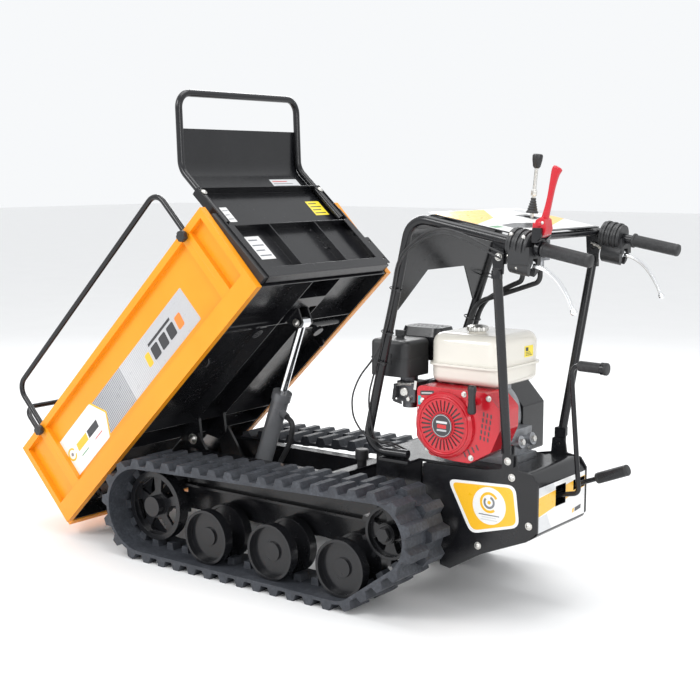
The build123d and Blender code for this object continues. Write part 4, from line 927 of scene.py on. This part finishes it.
# rope hooks under the bed, two on each side
hooks = []
for s in (-1, 1):
    for u in (128, 792):
        centre = on_bed(u, s * 268, 0)
        path = [centre + W * 0.040, centre + W * 0.014] + [
            centre + W * (0.004 - 0.013 * math.sin(a)) + U * (0.013 - 0.013 * math.cos(a)) for a in
            [math.pi * k / 10 for k in range(11)]] + [centre + W * 0.012 + U * 0.026]
        hooks.append(tube(path, 3.2 * MM, 10))
piece("rope_hooks", *merged(hooks), "bed", "black_steel")

# clamp knobs: lobed black caps over the CAD knobs
KNOB_LOBES = 6
for side, s in SIDES.items():
    for place, u in (("front", 124), ("rear", 1041)):
        centre = on_bed(u, s * 320.5, 283)
        rows = []
        for h, r in ((0, 0.0105), (0.001, 0.0150), (0.010, 0.0162), (0.0135, 0.0145), (0.0155, 0.009),
                     (0.0162, 0.0002)):
            rows.append([centre + Y * (s * h) + (U * math.cos(a) + W * math.sin(a))
                         * (r * (1 + 0.09 * math.cos(KNOB_LOBES * a))) for a in angles(60)])
        piece(f"clamp_knob_{side}_{place}", *skinned(rows), f"rail_knob_{side}_{place}", "black_plastic",
              PLASTIC, smooth=50)


# ---------------------------------------------------------------- light, floor, camera
floor_mesh = bpy.data.meshes.new("studio_floor")
reach = 30.0
floor_mesh.from_pydata([(-reach, -reach, 0), (reach, -reach, 0), (reach, reach, 0), (-reach, reach, 0)], [],
                       [(0, 1, 2, 3)])
floor = bpy.data.objects.new("studio_floor", floor_mesh)
bpy.context.collection.objects.link(floor)
floor_shader = Shader("studio_floor", Roughness=0.65)
floor_shader.colour(floor_shader.mix(floor_shader.noise(3.0), (0.86, 0.86, 0.86), (0.90, 0.90, 0.90)))
floor_mesh.materials.append(floor_shader.mat)

world = bpy.data.worlds.new("studio")
bpy.context.scene.world = world
world.use_nodes = True
world.node_tree.nodes["Background"].inputs["Color"].default_value = (0.97, 0.985, 1.0, 1)
world.node_tree.nodes["Background"].inputs["Strength"].default_value = 0.96
bpy.context.scene.view_settings.view_transform = "Standard"


def area_light(name, place, target, size, power):
    data = bpy.data.lights.new(name, "AREA")
    data.shape, data.size, data.size_y = "RECTANGLE", size[0], size[1]
    data.energy = power
    lamp = bpy.data.objects.new(name, data)
    bpy.context.collection.objects.link(lamp)
    lamp.location = place
    lamp.rotation_mode = "QUATERNION"
    lamp.rotation_quaternion = (Vector(target) - Vector(place)).to_track_quat("-Z", "Y")


area_light("key", (-1.2, -3.6, 3.4), (0, 0, 0.5), (2.2, 1.6), 95)
area_light("fill", (3.6, -1.8, 2.2), (0.2, 0, 0.6), (2.0, 2.0), 45)
area_light("top", (0, 0.3, 4.2), (0, 0, 0.5), (3.0, 2.4), 70)
area_light("rim", (-2.5, 3.2, 2.6), (0, 0, 0.6), (2.0, 1.4), 55)

CAMERA_AT = Vector((2.3864 + MID_X, -2.9646, 1.1686))
AZIMUTH, ELEVATION = math.radians(37.14), math.radians(7.99)
camera_data = bpy.data.cameras.new("camera")
camera_data.sensor_width = 36
camera_data.lens = 66.23
camera_data.clip_end = 100
camera = bpy.data.objects.new("camera", camera_data)
bpy.context.collection.objects.link(camera)
back = Vector((math.sin(AZIMUTH) * math.cos(ELEVATION), -math.cos(AZIMUTH) * math.cos(ELEVATION),
               math.sin(ELEVATION)))
camera.location = CAMERA_AT
camera.rotation_mode = "QUATERNION"
camera.rotation_quaternion = (-back).to_track_quat("-Z", "Y")
bpy.context.scene.camera = camera
